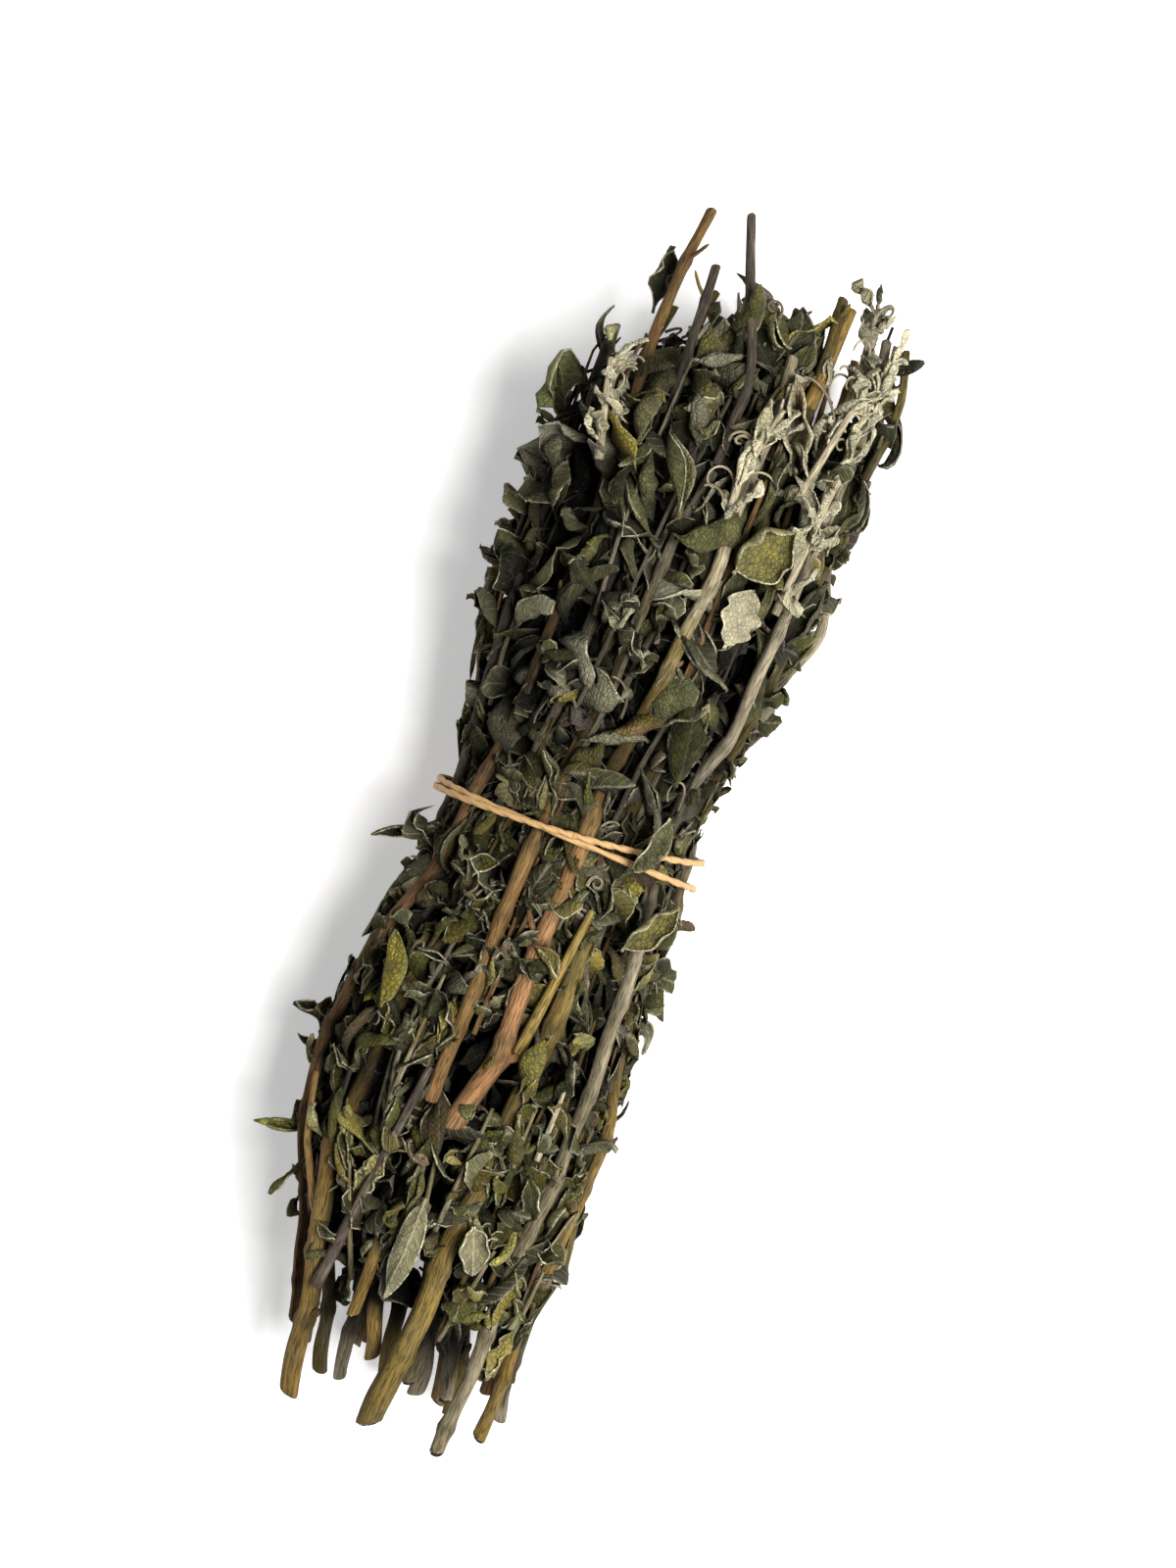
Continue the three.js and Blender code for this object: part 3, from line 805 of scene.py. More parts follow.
def add_stubs(shells, name, line, radius, at, look, rng):
    """Side stubs at some of a stem's rows, turned every way round it. A stem with knots
    of its own has a stouter one at the first of them, which points to -Y."""
    angle = rng.uniform(0, TURN, len(at))
    out = np.stack([np.full(len(at), 0.9), np.cos(angle), np.sin(angle)], 1)
    length = rng.uniform(2.5, 7.0, len(at))
    thick = radius[np.clip(at, 0, len(radius) - 1)] * rng.uniform(0.32, 0.5, len(at))
    if name in STEM_KNOTS:
        found = np.abs(line[at, 0] - STEM_KNOTS[name][0]) < 2
        out[found] = (0.25, -1.0, 0.1)
        length[found] = 6.0
        thick[found] = 1.3
    rings = squeezed(stub_rings(line[at], unit(out), length, thick, rng), 1.05)
    place = round_place(rings, rng.uniform(0, 50, len(at)))
    tone, light = look[0]
    shells.add(above_floor(rings), BARK, tone=tone, light=light, bark_place=place)


def build_stem(name, index):
    rng = np.random.default_rng(400 + index)
    path, radius = stem_path(name, index, rng)
    drawn = rng.uniform((0, 0.8), (LAST_DRAWN_TONE, 1.2), (2, 2))
    look = STEM_LOOKS.get(name, drawn)
    shells = Shells()
    line, knots, along = woody(shells, path, radius, look, index, rng, STEM_KNOTS.get(name, ()))
    at = np.interp(knots, along, np.arange(len(along))).astype(int)
    at = at[(rng.random(len(at)) < 0.6) | (at == at[-1])]
    at = at[np.abs(line[at, 0] - BAND_X) > BAND_REACH + 8]
    if len(at):
        add_stubs(shells, name, line, radius, at, look, rng)
    add_piece(name + "_bark", shells, "stem", name)


# Dried leaves.

# Columns of half a blade, as shares of the way from the midrib to the margin. They are
# picked from a finer row, on which the blade's slopes are summed.
FINE_STEPS = 32
BLADE_COLUMNS = np.array([0.0, 0.3125, 0.625, 0.8125, 0.9375, 1.0])
BLADE_ROWS = 12
HIDDEN_COLUMNS = np.array([0.0, 0.5, 1.0])
HIDDEN_ROWS = 7
STALK_HALF = 0.36
LEAF_HALF_THICKNESS = 0.19
MARGIN_THICKNESS = 0.55
RIB_HEIGHT = 0.16
RIB_WIDTH = 0.2


def midribs(leaf, t):
    """Each leaf's midrib, and the axes its blade spreads and rises along.

    The midrib sets out along 'ahead' and pitches towards 'up' by lift + bend * t +
    curl * t^3, and swings aside by sway * t^1.5. The axes turn about it by roll +
    twist * t."""
    pitch = column(leaf["lift"]) + column(leaf["bend"]) * t + column(leaf["curl"]) * t**3
    yaw = (column(leaf["sway"]) * t**1.5)[..., None]
    ahead, up = leaf["ahead"][:, None], leaf["up"][:, None]
    aside = np.cross(up, ahead)
    level = np.cos(yaw) * ahead + np.sin(yaw) * aside
    course = np.cos(pitch)[..., None] * level + np.sin(pitch)[..., None] * up
    midrib = leaf["root"][:, None] + running(course, 1) * leaf["length"][:, None, None]
    side = np.cos(yaw) * aside - np.sin(yaw) * ahead
    above = np.cross(course, side)
    turn = (column(leaf["roll"]) + column(leaf["twist"]) * t)[..., None]
    return midrib, np.cos(turn) * side + np.sin(turn) * above, np.cos(turn) * above - np.sin(turn) * side


def half_widths(leaf, t):
    """Each row's share of the way from the stalk to the tip, and its half width: an oval
    of that share, no narrower than the stalk until it is drawn in at the very tip."""
    stalk = column(leaf["stalk"])
    share = np.clip((t - stalk) / (1 - stalk), 0, 1)
    oval = np.sin(math.pi * share ** column(leaf["fullness"])) ** column(leaf["bluntness"])
    half = STALK_HALF + np.maximum(column(leaf["width"]) / 2 - STALK_HALF, 0) * oval
    return share, half * (1 - 0.7 * t**10)


def cross_sections(leaf, t, half_columns):
    """How far out and up each column lies, in half widths, from margin to margin.

    From the midrib outwards each half climbs at a slope of fold, reached within a quarter
    of the half width, + furl * s^1.5 + a ripple that grows towards the margin + hem *
    s^7, which rolls the very edge."""
    fold, ripple, waves, hem = (leaf[key][:, None, None] for key in ("fold", "ripple", "waves", "hem"))
    s = np.linspace(0, 1, FINE_STEPS + 1)[None, None]
    picked = np.round(half_columns * FINE_STEPS).astype(int)
    outs, rises = [], []
    for which, sign in (("left", -1), ("right", 1)):
        furl, phase = (leaf[key + which][:, None, None] for key in ("furl_", "phase_"))
        wave = np.sin(TURN * waves * t[..., None] + phase)
        slope = fold * np.tanh(s / 0.25) + furl * s**1.5 + ripple * wave * s**2 + hem * s**7
        outs.append(sign * running(np.cos(slope), 2)[:, :, picked])
        rises.append(running(np.sin(slope), 2)[:, :, picked])
    return (np.concatenate([left[:, :, :0:-1], right], 2) for left, right in (outs, rises))


def blade_rings(leaf, rows=BLADE_ROWS, half_columns=BLADE_COLUMNS):
    """Many leaves at once, each a closed thin shell on its midrib and cross sections.

    Crumples lift the whole blade by two crossed waves. Both faces lie half a thickness
    from that middle surface, along its normal; the lower one has a rib."""
    t = np.linspace(0, 1, rows)[None]
    midrib, side, above = midribs(leaf, t)
    share, half = half_widths(leaf, t)
    out, rise = (values * half[..., None] for values in cross_sections(leaf, t, half_columns))
    across = np.concatenate([-half_columns[:0:-1], half_columns]) * np.ones((len(half), rows, 1))
    crumple, phase, number = (leaf[key][:, None, None] for key in ("crumple", "phase_left", "number"))
    t = t[..., None]
    crease = np.sin(5.5 * t + 2.6 * across + phase)
    crease = crease + 0.7 * np.sin(11 * t - 3.7 * across + 2 * phase)
    rise = rise + crumple * crease * np.minimum(share * 4, 1)[..., None]
    middle = midrib[:, :, None] + side[:, :, None] * out[..., None] + above[:, :, None] * rise[..., None]

    normal = unit(np.cross(np.gradient(middle, axis=1), np.gradient(middle, axis=2)))
    thickness = LEAF_HALF_THICKNESS * np.where(np.abs(across) > 0.97, MARGIN_THICKNESS, 1.0)
    rib = RIB_HEIGHT * np.exp(-((across / RIB_WIDTH) ** 2)) * (1 - 0.7 * t)
    top = middle + normal * thickness[..., None]
    bottom = middle - normal * (thickness + rib)[..., None]
    rings = np.concatenate([top[:, :, ::-1], bottom], 2)
    both = np.concatenate([across[:, :, ::-1], across], 2)
    parts = [both * half[..., None], t * leaf["length"][:, None, None], number]
    place = np.stack(np.broadcast_arrays(*parts), -1)
    under = np.concatenate([np.zeros_like(across), np.ones_like(across)], 2)
    return rings, {"leaf_place": place, "margin": np.abs(both), "under": under}


def leaf_batch(count, rng, **given):
    """Shape numbers for a batch of leaves, with those given in place of drawn ones.

    Four habits share them out: furled leaves roll both halves into tubes, folded ones
    close like a book, waved ones stay open with a rippled margin, and crushed ones curl
    up on themselves. Lengths are in millimetres, turns in radians."""
    habit = rng.choice(4, count, p=[0.32, 0.22, 0.26, 0.20])
    furled, folded, waved, crushed = (habit == kind for kind in range(4))
    sign = np.where(rng.random(count) < 0.5, 1.0, -1.0)
    strong = np.where(crushed, 1.8, 1.0)
    length = np.clip(rng.lognormal(np.log(14.0), 0.28, count), 6.5, 24.0)
    leaf = {
        "length": length,
        "width": length * rng.uniform(0.40, 0.66, count),
        "lift": rng.normal(0.15, 0.30, count),
        "bend": rng.normal(-0.3, 0.9, count) * strong,
        "curl": rng.normal(0.0, 1.2, count) * strong,
        "sway": rng.normal(0.0, 0.5, count) * strong,
        "roll": rng.normal(0.0, 0.9, count),
        "twist": rng.normal(0.0, 1.0, count) * strong,
        "stalk": rng.uniform(0.10, 0.24, count),
        "fullness": rng.uniform(0.78, 1.02, count),
        "bluntness": rng.uniform(0.5, 0.8, count),
        "hem": rng.uniform(0.5, 4.5, count) * rng.choice([-1.0, 1.0], count, p=[0.65, 0.35]),
        "fold": sign * np.where(folded, rng.uniform(0.7, 1.3, count), rng.uniform(0.05, 0.45, count)),
        "furl_left": sign * np.where(furled, rng.uniform(2.2, 5.2, count), rng.uniform(-0.2, 2.2, count)),
        "furl_right": sign * np.where(furled, rng.uniform(1.6, 5.2, count), rng.uniform(-0.2, 2.2, count)),
        "ripple": np.where(waved, rng.uniform(0.8, 1.7, count), rng.uniform(0.2, 0.9, count)),
        "waves": rng.uniform(1.2, 3.4, count),
        "phase_left": rng.uniform(0, TURN, count),
        "phase_right": rng.uniform(0, TURN, count),
        "crumple": rng.uniform(0.3, 1.0, count) * strong,
        "number": rng.uniform(0, 400, count),
        "tone": np.clip(rng.normal(0.36, 0.27, count), 0.0, 1.0),
        "wool": np.where(rng.random(count) < 0.2, rng.uniform(0.25, 0.9, count), rng.uniform(0, 0.08, count)),
        "light": rng.lognormal(-0.08, 0.60, count),
        "layer": np.clip(rng.normal(1.045, 0.05, count), 0.92, 1.15),
    }
    stray = rng.random(count) < 0.08
    leaf["layer"] = leaf["layer"] + stray * rng.uniform(0.05, 0.2, count)
    leaf.update(given)
    return leaf


# A shape's layer is its greatest share of the way out. At the band it is this tight, over
# this much more than the band's own reach.
BAND_LAYER = 0.98
BAND_GRIP = 6.0
# How much of what stands out beyond its layer a leaf is moved inwards by.
TUCK = 0.85


def pressed(rings, layer):
    """Shapes are held inside the bundle's outside: tight at the band, looser away from
    it by each shape's own layer."""
    near_band = np.exp(-(((rings[..., 0] - BAND_X) / (BAND_REACH + BAND_GRIP)) ** 4))
    loose = layer[:, None, None]
    limit = loose + (BAND_LAYER - loose) * near_band
    return above_floor(squeezed(rings, limit, 0.12))


def tucked(rings, layer):
    """Moves each whole leaf inwards until most of what stood out beyond its layer is
    inside, so that it keeps its folds."""
    _, share = ENVELOPE.place(rings)
    over = np.maximum(share.max((1, 2)) - layer, 0)
    middle = rings.mean((1, 2))
    angle, _ = ENVELOPE.place(middle)
    inward = unit(ENVELOPE.middle(middle[:, 0]) - middle[:, 1:])
    moved = rings.copy()
    moved[..., 1:] += (inward * (TUCK * over * ENVELOPE.reach(middle[:, 0], angle))[:, None])[:, None, None]
    return moved


# The ragged line of the leaf end, which parts into clumps: Y and the greatest X there.
TIPS_LINE = np.array([
    (-45.0, 114.0), (-38.0, 127.0), (-31.0, 134.0), (-27.0, 132.0), (-24.5, 98.0),
    (-22.0, 106.0), (-18.0, 125.0), (-8.0, 128.0), (0.0, 133.0), (6.0, 134.0),
    (9.0, 130.0), (11.5, 115.0), (14.0, 119.0), (17.0, 130.0), (20.0, 131.0),
    (22.5, 103.0), (26.0, 105.0), (29.0, 116.0), (34.0, 110.0), (42.0, 98.0),
])


def tips_line(y):
    return np.interp(y, TIPS_LINE[:, 0], TIPS_LINE[:, 1])


def shortened(paths):
    """Shoots drawn in along X, from their feet, so that their ends stay behind the
    ragged line of the leaf end."""
    foot, tip = paths[:, :1, 0], paths[:, -1:, 0]
    room = np.minimum((tips_line(paths[:, -1:, 1]) - foot) / np.maximum(tip - foot, 1), 1)
    moved = paths.copy()
    moved[..., 0] = foot + (paths[..., 0] - foot) * np.maximum(room, 0.3)
    return moved


# How leaf tones change in the stem half: more olive and yellow-olive, less grey-green.
STEM_HALF_TONES = (
    (0.0, 0.2, 0.32, 0.42, 0.52, 0.7, 1.0),
    (0.05, 0.16, 0.22, 0.28, 0.66, 0.76, 0.95),
)


def head_share(x):
    """0 in the stem half of the bundle, 1 at the leaf tips."""
    return smoothstep(-30.0, 60.0, x)


def add_leaves(shells, leaf, trimmed=True, **shape):
    """Leaves held to the bundle's outside, greener and less woolly in the stem half.
    Those that cross the ragged line of the leaf end are left out, unless they are
    untrimmed ones."""
    rings, values = blade_rings(leaf, **shape)
    rings = pressed(tucked(rings, leaf["layer"]), leaf["layer"])
    near_head = head_share(leaf["root"][:, 0])
    olive = np.interp(leaf["tone"], *STEM_HALF_TONES)
    looks = {
        "tone": olive + (leaf["tone"] - olive) * near_head,
        "wool": leaf["wool"] * (0.3 + 0.7 * near_head),
        "light": leaf["light"] * (1.18 - 0.18 * near_head),
    }
    values.update({name: value[:, None, None] for name, value in looks.items()})
    kept = (rings[..., 0] < tips_line(rings[..., 1])).all((1, 2)) | (not trimmed)
    if kept.any():
        shells.add(rings[kept], LEAF, **{name: value[kept] for name, value in values.items()})


# One sprig's leaves and twigs.

class Cell:
    """The space of one leaf mass in the frame: its angles and shares at each row."""

    def __init__(self, node):
        rows = ROWS[node]
        self.x = np.array(sorted(rows))[1:-1]
        lows, highs, nears, fars = [], [], [], []
        previous = None
        for x in self.x:
            angle, share = ENVELOPE.place(rows[x])
            middle = math.atan2(np.sin(angle).mean(), np.cos(angle).mean())
            if previous is not None:
                middle += round((previous - middle) / TURN) * TURN
            previous = middle
            apart = (angle - middle + math.pi) % TURN - math.pi
            lows.append(middle + apart.min())
            highs.append(middle + apart.max())
            nears.append(share.min())
            fars.append(share.max())
        self.low, self.high, self.near, self.far = map(np.array, (lows, highs, nears, fars))
        self.start, self.end = sorted(rows)[0], sorted(rows)[-1]

    def at(self, x, across, out):
        """A point at x, across and out shares of the cell (0 and 1 at its sides)."""
        low, high, near, far = (
            np.interp(x, self.x, values) for values in (self.low, self.high, self.near, self.far)
        )
        return ENVELOPE.point(x, low + (high - low) * across, near + (far - near) * out)


TWIG_POINTS = 16
TWIG_SIDES = 6
LEAVES_AT_KNOT = 2


def twig_paths(cell, count, rng, out_range, reach_range):
    """Thin side shoots that follow the bundle inside one cell, with a slow sideways
    swing and a small wander."""
    length = rng.uniform(*reach_range, count)
    middle = cell.start + (cell.end - cell.start) * (np.arange(count) + rng.random(count)) / count
    start = np.clip(middle - length / 2, cell.start, cell.end - 20)
    stop = np.clip(start + length, None, cell.end)
    t = np.linspace(0, 1, TWIG_POINTS)[None]
    x = column(start) + column(stop - start) * t
    across = column(rng.uniform(-0.25, 1.1, count)) + column(rng.normal(0, 0.28, count)) * (t - 0.5)
    out = column(rng.uniform(*out_range, count)) + column(rng.normal(0, 0.10, count)) * (t - 0.5)
    wave = 0.05 * np.sin(column(rng.uniform(4, 9, count)) * t + column(rng.uniform(0, TURN, count)))
    return cell.at(x, across + wave, out)


def leaves_on(paths, rng, gap, reach):
    """Where leaves leave their shoots: in pairs, at knots a gap apart within a reach of
    each shoot's length. Returns their roots, the shoot's direction, and the outward and
    sideways axes."""
    steps = np.linalg.norm(np.diff(paths, axis=1), axis=-1).sum(1)
    roots, ahead = [], []
    for path, length in zip(paths, steps):
        at = np.arange(rng.uniform(0, gap), length, gap) / length
        at = np.repeat(at[(at > reach[0]) & (at < reach[1])], LEAVES_AT_KNOT)
        at = np.clip(at + rng.normal(0, 0.012, len(at)), 0, 1) * (len(path) - 1)
        low = np.minimum(at.astype(int), len(path) - 2)
        share = (at - low)[:, None]
        roots.append(path[low] * (1 - share) + path[low + 1] * share)
        ahead.append(unit(path[low + 1] - path[low]))
    roots, ahead = np.concatenate(roots), np.concatenate(ahead)
    outward = np.zeros_like(roots)
    outward[:, 1:] = roots[:, 1:] - ENVELOPE.middle(roots[:, 0])
    outward = unit(outward)
    outward = unit(outward - ahead * (outward * ahead).sum(1, keepdims=True))
    return roots, ahead, outward, np.cross(outward, ahead)


def leaf_directions(ahead, outward, aside, rng, flatness, lean_range, backward):
    """Each leaf leaves its shoot at a lean, to one side or the other of the outward
    direction; some hang back towards the cut ends. Its upper face looks outwards. A
    flatness of 1 keeps every leaf along the surface, 0 lets it point anywhere."""
    count = len(ahead)
    side = np.where(rng.random(count) < 0.5, -1.0, 1.0)
    around = side * (math.pi / 2 - rng.normal(0.25, 0.45 + 0.9 * (1 - flatness), count))
    around = around[:, None]
    lean = rng.uniform(*lean_range, count)[:, None]
    along = np.where(rng.random(count) < backward, -1.0, 1.0)[:, None] * ahead
    away = np.cos(around) * outward + np.sin(around) * aside
    direction = unit(np.cos(lean) * along + np.sin(lean) * away)
    up = unit(outward - direction * (outward * direction).sum(1, keepdims=True) + 0.02 * aside)
    return direction, unit(up - direction * (up * direction).sum(1, keepdims=True))


def leaves_along(paths, rng, gap, flatness, lean_range, backward, reach=(0.05, 1.0), end=None):
    """A batch of leaves on shoots, up to an end along X, with the shoots' own direction
    and outward axis at each leaf."""
    axes = leaves_on(paths, rng, gap, reach)
    if end is not None:
        before = axes[0][:, 0] < end
        axes = (values[before] for values in axes)
    roots, ahead, outward, aside = axes
    direction, up = leaf_directions(ahead, outward, aside, rng, flatness, lean_range, backward)
    leaf = leaf_batch(len(roots), rng, root=roots, ahead=direction, up=up)
    return leaf, ahead, outward


def add_twigs(shells, paths, radii, tone, light, rng, layer=1.0):
    """Thin woody shoots, thicker at the foot."""
    rings = swept(paths, column(radii) * np.linspace(1.15, 0.7, paths.shape[1])[None], TWIG_SIDES)
    rings = pressed(rings, np.full(len(paths), layer))
    place = round_place(rings, rng.uniform(0, 90, len(paths)))
    spread_out = (slice(None), None, None)
    tone, light = (np.broadcast_to(value, len(paths))[spread_out] for value in (tone, light))
    shells.add(rings, BARK, tone=tone, light=light, bark_place=place)


def curled_stalks(shells, roots, ahead, up, rng):
    """Bare leaf stalks that have dried into hooks and loops: each turns in its own
    plane, ever more tightly, by turning * t^1.6."""
    count = len(roots)
    t = np.linspace(0, 1, 18)[None]
    turning = column(rng.uniform(1.5, 6.5, count) * rng.choice([-1, 1], count)) * t**1.6
    drift = column(rng.normal(0, 0.5, count)) * t
    aside = np.cross(up, ahead)[:, None]
    flat = np.cos(turning)[..., None] * ahead[:, None] + np.sin(turning)[..., None] * aside
    course = np.cos(drift)[..., None] * flat + np.sin(drift)[..., None] * up[:, None]
    length = rng.uniform(8.0, 18.0, count)[:, None, None]
    paths = roots[:, None] + running(course, 1) * length
    radii, light = rng.uniform(0.3, 0.45, count), rng.uniform(0.7, 1.5, count)
    add_twigs(shells, paths, radii, 0.74, light, rng, 1.07)


def surface_path(ends, share, count=TWIG_POINTS):
    """A line over the top of the bundle between places given by X and Y, at a share of
    the way out that runs from one number to another."""
    ends = np.array(ends, float)
    t = np.linspace(0, 1, count)
    x, y = (np.interp(t, np.linspace(0, 1, len(ends)), ends[:, axis]) for axis in (0, 1))
    shares = np.linspace(*share, count)
    angles = np.linspace(0.05, math.pi - 0.05, 160)
    across = ENVELOPE.point(x[:, None], angles[None], shares[:, None])[..., 1]
    angle = np.array([np.interp(-place, -row, angles) for place, row in zip(y, across)])
    return ENVELOPE.point(x, angle, shares)[None]


# Shoots seen on the upper side, by the sprig they belong to: their ends' X and Y, share
# of the way out at both ends, radius, bark tone and lightness.
TOP_TWIGS = {
    4: [(((-51, -5), (-16, -10)), (0.97, 1.0), 1.25, 0.42, 1.7)],
    2: [
        (((-100, 26), (-86, 33), (-71, 36)), (0.99, 1.0), 1.0, 0.16, 1.3),
        (((-116, 20), (-60, 12)), (0.97, 0.99), 1.3, 0.98, 1.2),
    ],
    6: [
        (((-72, -17), (-52, -18)), (1.0, 1.04), 0.7, 0.75, 1.3),
        (((104, -17.5), (129, -19.6)), (0.92, 0.8), 1.7, 0.3, 1.5),
    ],
    8: [(((100, -34), (126, -38)), (0.8, 0.9), 1.1, 0.3, 1.3)],
}
# Young woolly leaves round a shoot's tip, by sprig: the shoot's ends, the share of the
# way out at both ends, and how woolly they are.
WOOLLY_TIPS = {
    5: [(((70, -9), (84, -8.5), (101, -12.6)), (1.0, 1.12), 0.85)],
    7: [
        (((59, -26), (119, -31.5)), (0.99, 1.06), 0.75),
        (((84, -22), (112, -28)), (1.0, 1.1), 0.8),
        (((108, -27), (130, -25)), (0.8, 0.9), 0.6),
    ],
    2: [(((78, 22), (100, 27)), (0.98, 1.1), 0.7)],
}
# Leafy shoots that show on the upper side, by sprig: their ends and share of the way out.
LEAFY_SHOOTS = {
    5: [(((-94, -1), (-64, -4)), (0.96, 1.0)), (((-84, -12), (-60, -13)), (0.96, 1.02))],
    6: [(((-118, -10), (-94, -15)), (0.94, 1.0))],
    4: [(((-104, 7), (-78, 6)), (0.90, 0.97)), (((-96, 2), (-72, 5)), (0.93, 0.98))],
    3: [(((-112, 13), (-86, 22)), (0.94, 1.0)), (((-70, 18), (-40, 16)), (0.98, 1.03))],
    7: [(((-122, -24), (-96, -27)), (0.94, 1.0))],
}
# Leaves that stick out of the outline, by sprig: root, direction, length, width and tone.
STRAY_LEAVES = {
    1: [
        ((-13, 27, 31), (0.10, 1.0, 0.10), 17.0, 6.5, 0.20),
        ((-15, 28, 36), (0.5, 1.0, 0.0), 12.0, 5.0, 0.40),
        ((-84, 32, 24), (-0.30, 1.0, 0.05), 15.0, 6.0, 0.25),
        ((-90, 31, 27), (-0.9, 0.8, 0.0), 14.0, 5.0, 0.05),
    ],
    2: [
        ((101, 26, 40), (0.75, 0.6, 0.1), 17.0, 6.0, 0.50),
        ((114, 22, 38), (1.0, 0.1, 0.1), 16.0, 7.0, 0.45),
    ],
    8: [((119, -30, 32), (0.6, -0.9, 0.0), 13.0, 7.5, 0.12)],
}
# How many shoots carry leaves in an inner sprig, under an outer sprig's own, and low in
# its stem half, and how many curled stalks there are; an outer sprig's shoots are as
# many as its length and width have room for.
INNER_TWIGS = 7
UNDER_TWIGS = 5
LOW_TWIGS = 6
OUTER_TWIGS = (5, 14)
UNDER_STALKS = 6
WOOLLY_STALKS = 5
HIDDEN_SHAPE = {"rows": HIDDEN_ROWS, "half_columns": HIDDEN_COLUMNS}
# Bark tones that thin shoots are drawn from: reddish, olive, grey-tan, purple-brown.
TWIG_TONES = (0.1, 0.55, 0.75, 0.97)


def add_stray_leaves(shells, given, rng):
    root, directions, length, width, tone = (np.array(values, float) for values in zip(*given))
    ahead = unit(directions)
    up = unit(np.array([0.0, 0.0, 1.0]) - ahead * ahead[:, 2:])
    known = {"root": root, "ahead": ahead, "up": up, "length": length, "width": width, "tone": tone}
    leaf = leaf_batch(len(given), rng, **known)
    leaf["layer"] = np.full(len(given), 1.6)
    leaf["wool"] = np.full(len(given), 0.05)
    leaf["bend"] = leaf["bend"] * 0.4
    add_leaves(shells, leaf, trimmed=False)


def add_leafy_shoot(shells, ends, share, rng):
    path = surface_path(ends, share, 20)
    add_twigs(shells, path, np.array([0.6]), 0.6, 1.1, rng, 1.1)
    leaf, _, _ = leaves_along(path, rng, 4.5, 0.7, (0.3, 1.3), 0.3, reach=(0.0, 1.01))
    leaf["layer"] = np.full(len(leaf["root"]), 1.08)
    add_leaves(shells, leaf)


def add_woolly_tip(shells, ends, share, wool, rng):
    """Small pale leaves and stalks close round the end of a shoot."""
    path = surface_path(ends, share, 24)
    add_twigs(shells, path, np.array([0.9]), 0.75, 1.3, rng, 1.2)
    leaf, _, _ = leaves_along(path, rng, 4.2, 0.3, (0.15, 0.8), 0.05, reach=(0.0, 1.01))
    count = len(leaf["root"])
    leaf["length"] = rng.uniform(7.0, 14.0, count)
    leaf["width"] = leaf["length"] * rng.uniform(0.2, 0.42, count)
    leaf["wool"] = np.clip(rng.normal(wool, 0.15, count), 0, 1)
    leaf["tone"] = np.full(count, 0.5)
    leaf["layer"] = np.full(count, 1.22)
    add_leaves(shells, leaf, trimmed=False)
    picked = rng.choice(count, WOOLLY_STALKS)
    curled_stalks(shells, leaf["root"][picked], leaf["ahead"][picked], leaf["up"][picked], rng)


def add_low_leaves(shells, cell, rng):
    """Leaves under the outer ones of the stem half, so that few gaps go deep."""
    paths = twig_paths(cell, LOW_TWIGS, rng, (0.35, 0.9), (40, 80))
    leaf, _, _ = leaves_along(paths, rng, 8.0, 0.9, (0.2, 1.3), 0.3, end=BAND_X)
    leaf["layer"] = leaf["layer"] - 0.045
    add_leaves(shells, leaf)


def add_under_leaves(shells, paths, rng):
    """Plainer leaves deep under an outer sprig's own, and curled stalks among them."""
    leaf, ahead, outward = leaves_along(paths, rng, 11.0, 0.2, (0.1, 0.8), 0.3)
    leaf["layer"] = np.full(len(ahead), 0.9)
    add_leaves(shells, leaf, **HIDDEN_SHAPE)
    picked = rng.choice(len(ahead), UNDER_STALKS, replace=False)
    lifted = leaf["root"][picked] + outward[picked] * 4
    curled_stalks(shells, lifted, ahead[picked], outward[picked], rng)


def build_foliage(number):
    """All of one sprig's shoots and leaves, in place of its leaf mass."""
    rng = np.random.default_rng(1000 + number)
    node = f"foliage_{number:02d}"
    cell = Cell(node)
    outer = number in OUTER_SPRIGS
    shells = Shells()
    if outer:
        wide = np.mean((cell.high - cell.low) * 30)
        room = (cell.end - cell.start) / 30 * wide / 9
        paths = twig_paths(cell, int(np.clip(round(room), *OUTER_TWIGS)), rng, (0.45, 1.0), (45, 90))
        under = twig_paths(cell, UNDER_TWIGS, rng, (0.0, 0.5), (60, 110))
    else:
        paths = twig_paths(cell, INNER_TWIGS, rng, (0.2, 0.9), (60, 110))
    count = len(paths)
    tone = np.clip(rng.choice(TWIG_TONES, count) + rng.normal(0, 0.05, count), 0, 1)
    add_twigs(shells, shortened(paths), rng.uniform(0.45, 0.85, count), tone, 1.0, rng)
    leaf, _, _ = leaves_along(paths, rng, 9.0, 0.9, (0.2, 1.3), 0.25)
    near_head = head_share(leaf["root"][:, 0])
    leaf["tone"] = np.clip(leaf["tone"] + rng.uniform(-0.04, 0.04, len(near_head)), 0, 1)
    leaf["length"] = leaf["length"] * (0.96 + 0.26 * near_head)
    leaf["width"] = leaf["width"] * (0.96 + 0.22 * near_head)
    add_leaves(shells, leaf, **({} if outer else HIDDEN_SHAPE))
    if outer:
        add_under_leaves(shells, under, rng)
    for ends, share, radius, tone, light in TOP_TWIGS.get(number, ()):
        add_twigs(shells, surface_path(ends, share), np.array([radius]), tone, light, rng, 1.1)
    if number in STRAY_LEAVES:
        add_stray_leaves(shells, STRAY_LEAVES[number], rng)
    for ends, share in LEAFY_SHOOTS.get(number, ()):
        add_leafy_shoot(shells, ends, share, rng)
    for ends, share, wool in WOOLLY_TIPS.get(number, ()):
        add_woolly_tip(shells, ends, share, wool, rng)
    if outer:
        add_low_leaves(shells, cell, rng)
    add_piece(f"leaves_{number:02d}", shells, "foliage", node)


# Single leaves on the outside.

SINGLE_ROWS = 30
SINGLE_COLUMNS = np.array([0.0, 0.09, 0.19, 0.31, 0.44, 0.56, 0.69, 0.81, 0.91, 0.97, 1.0])
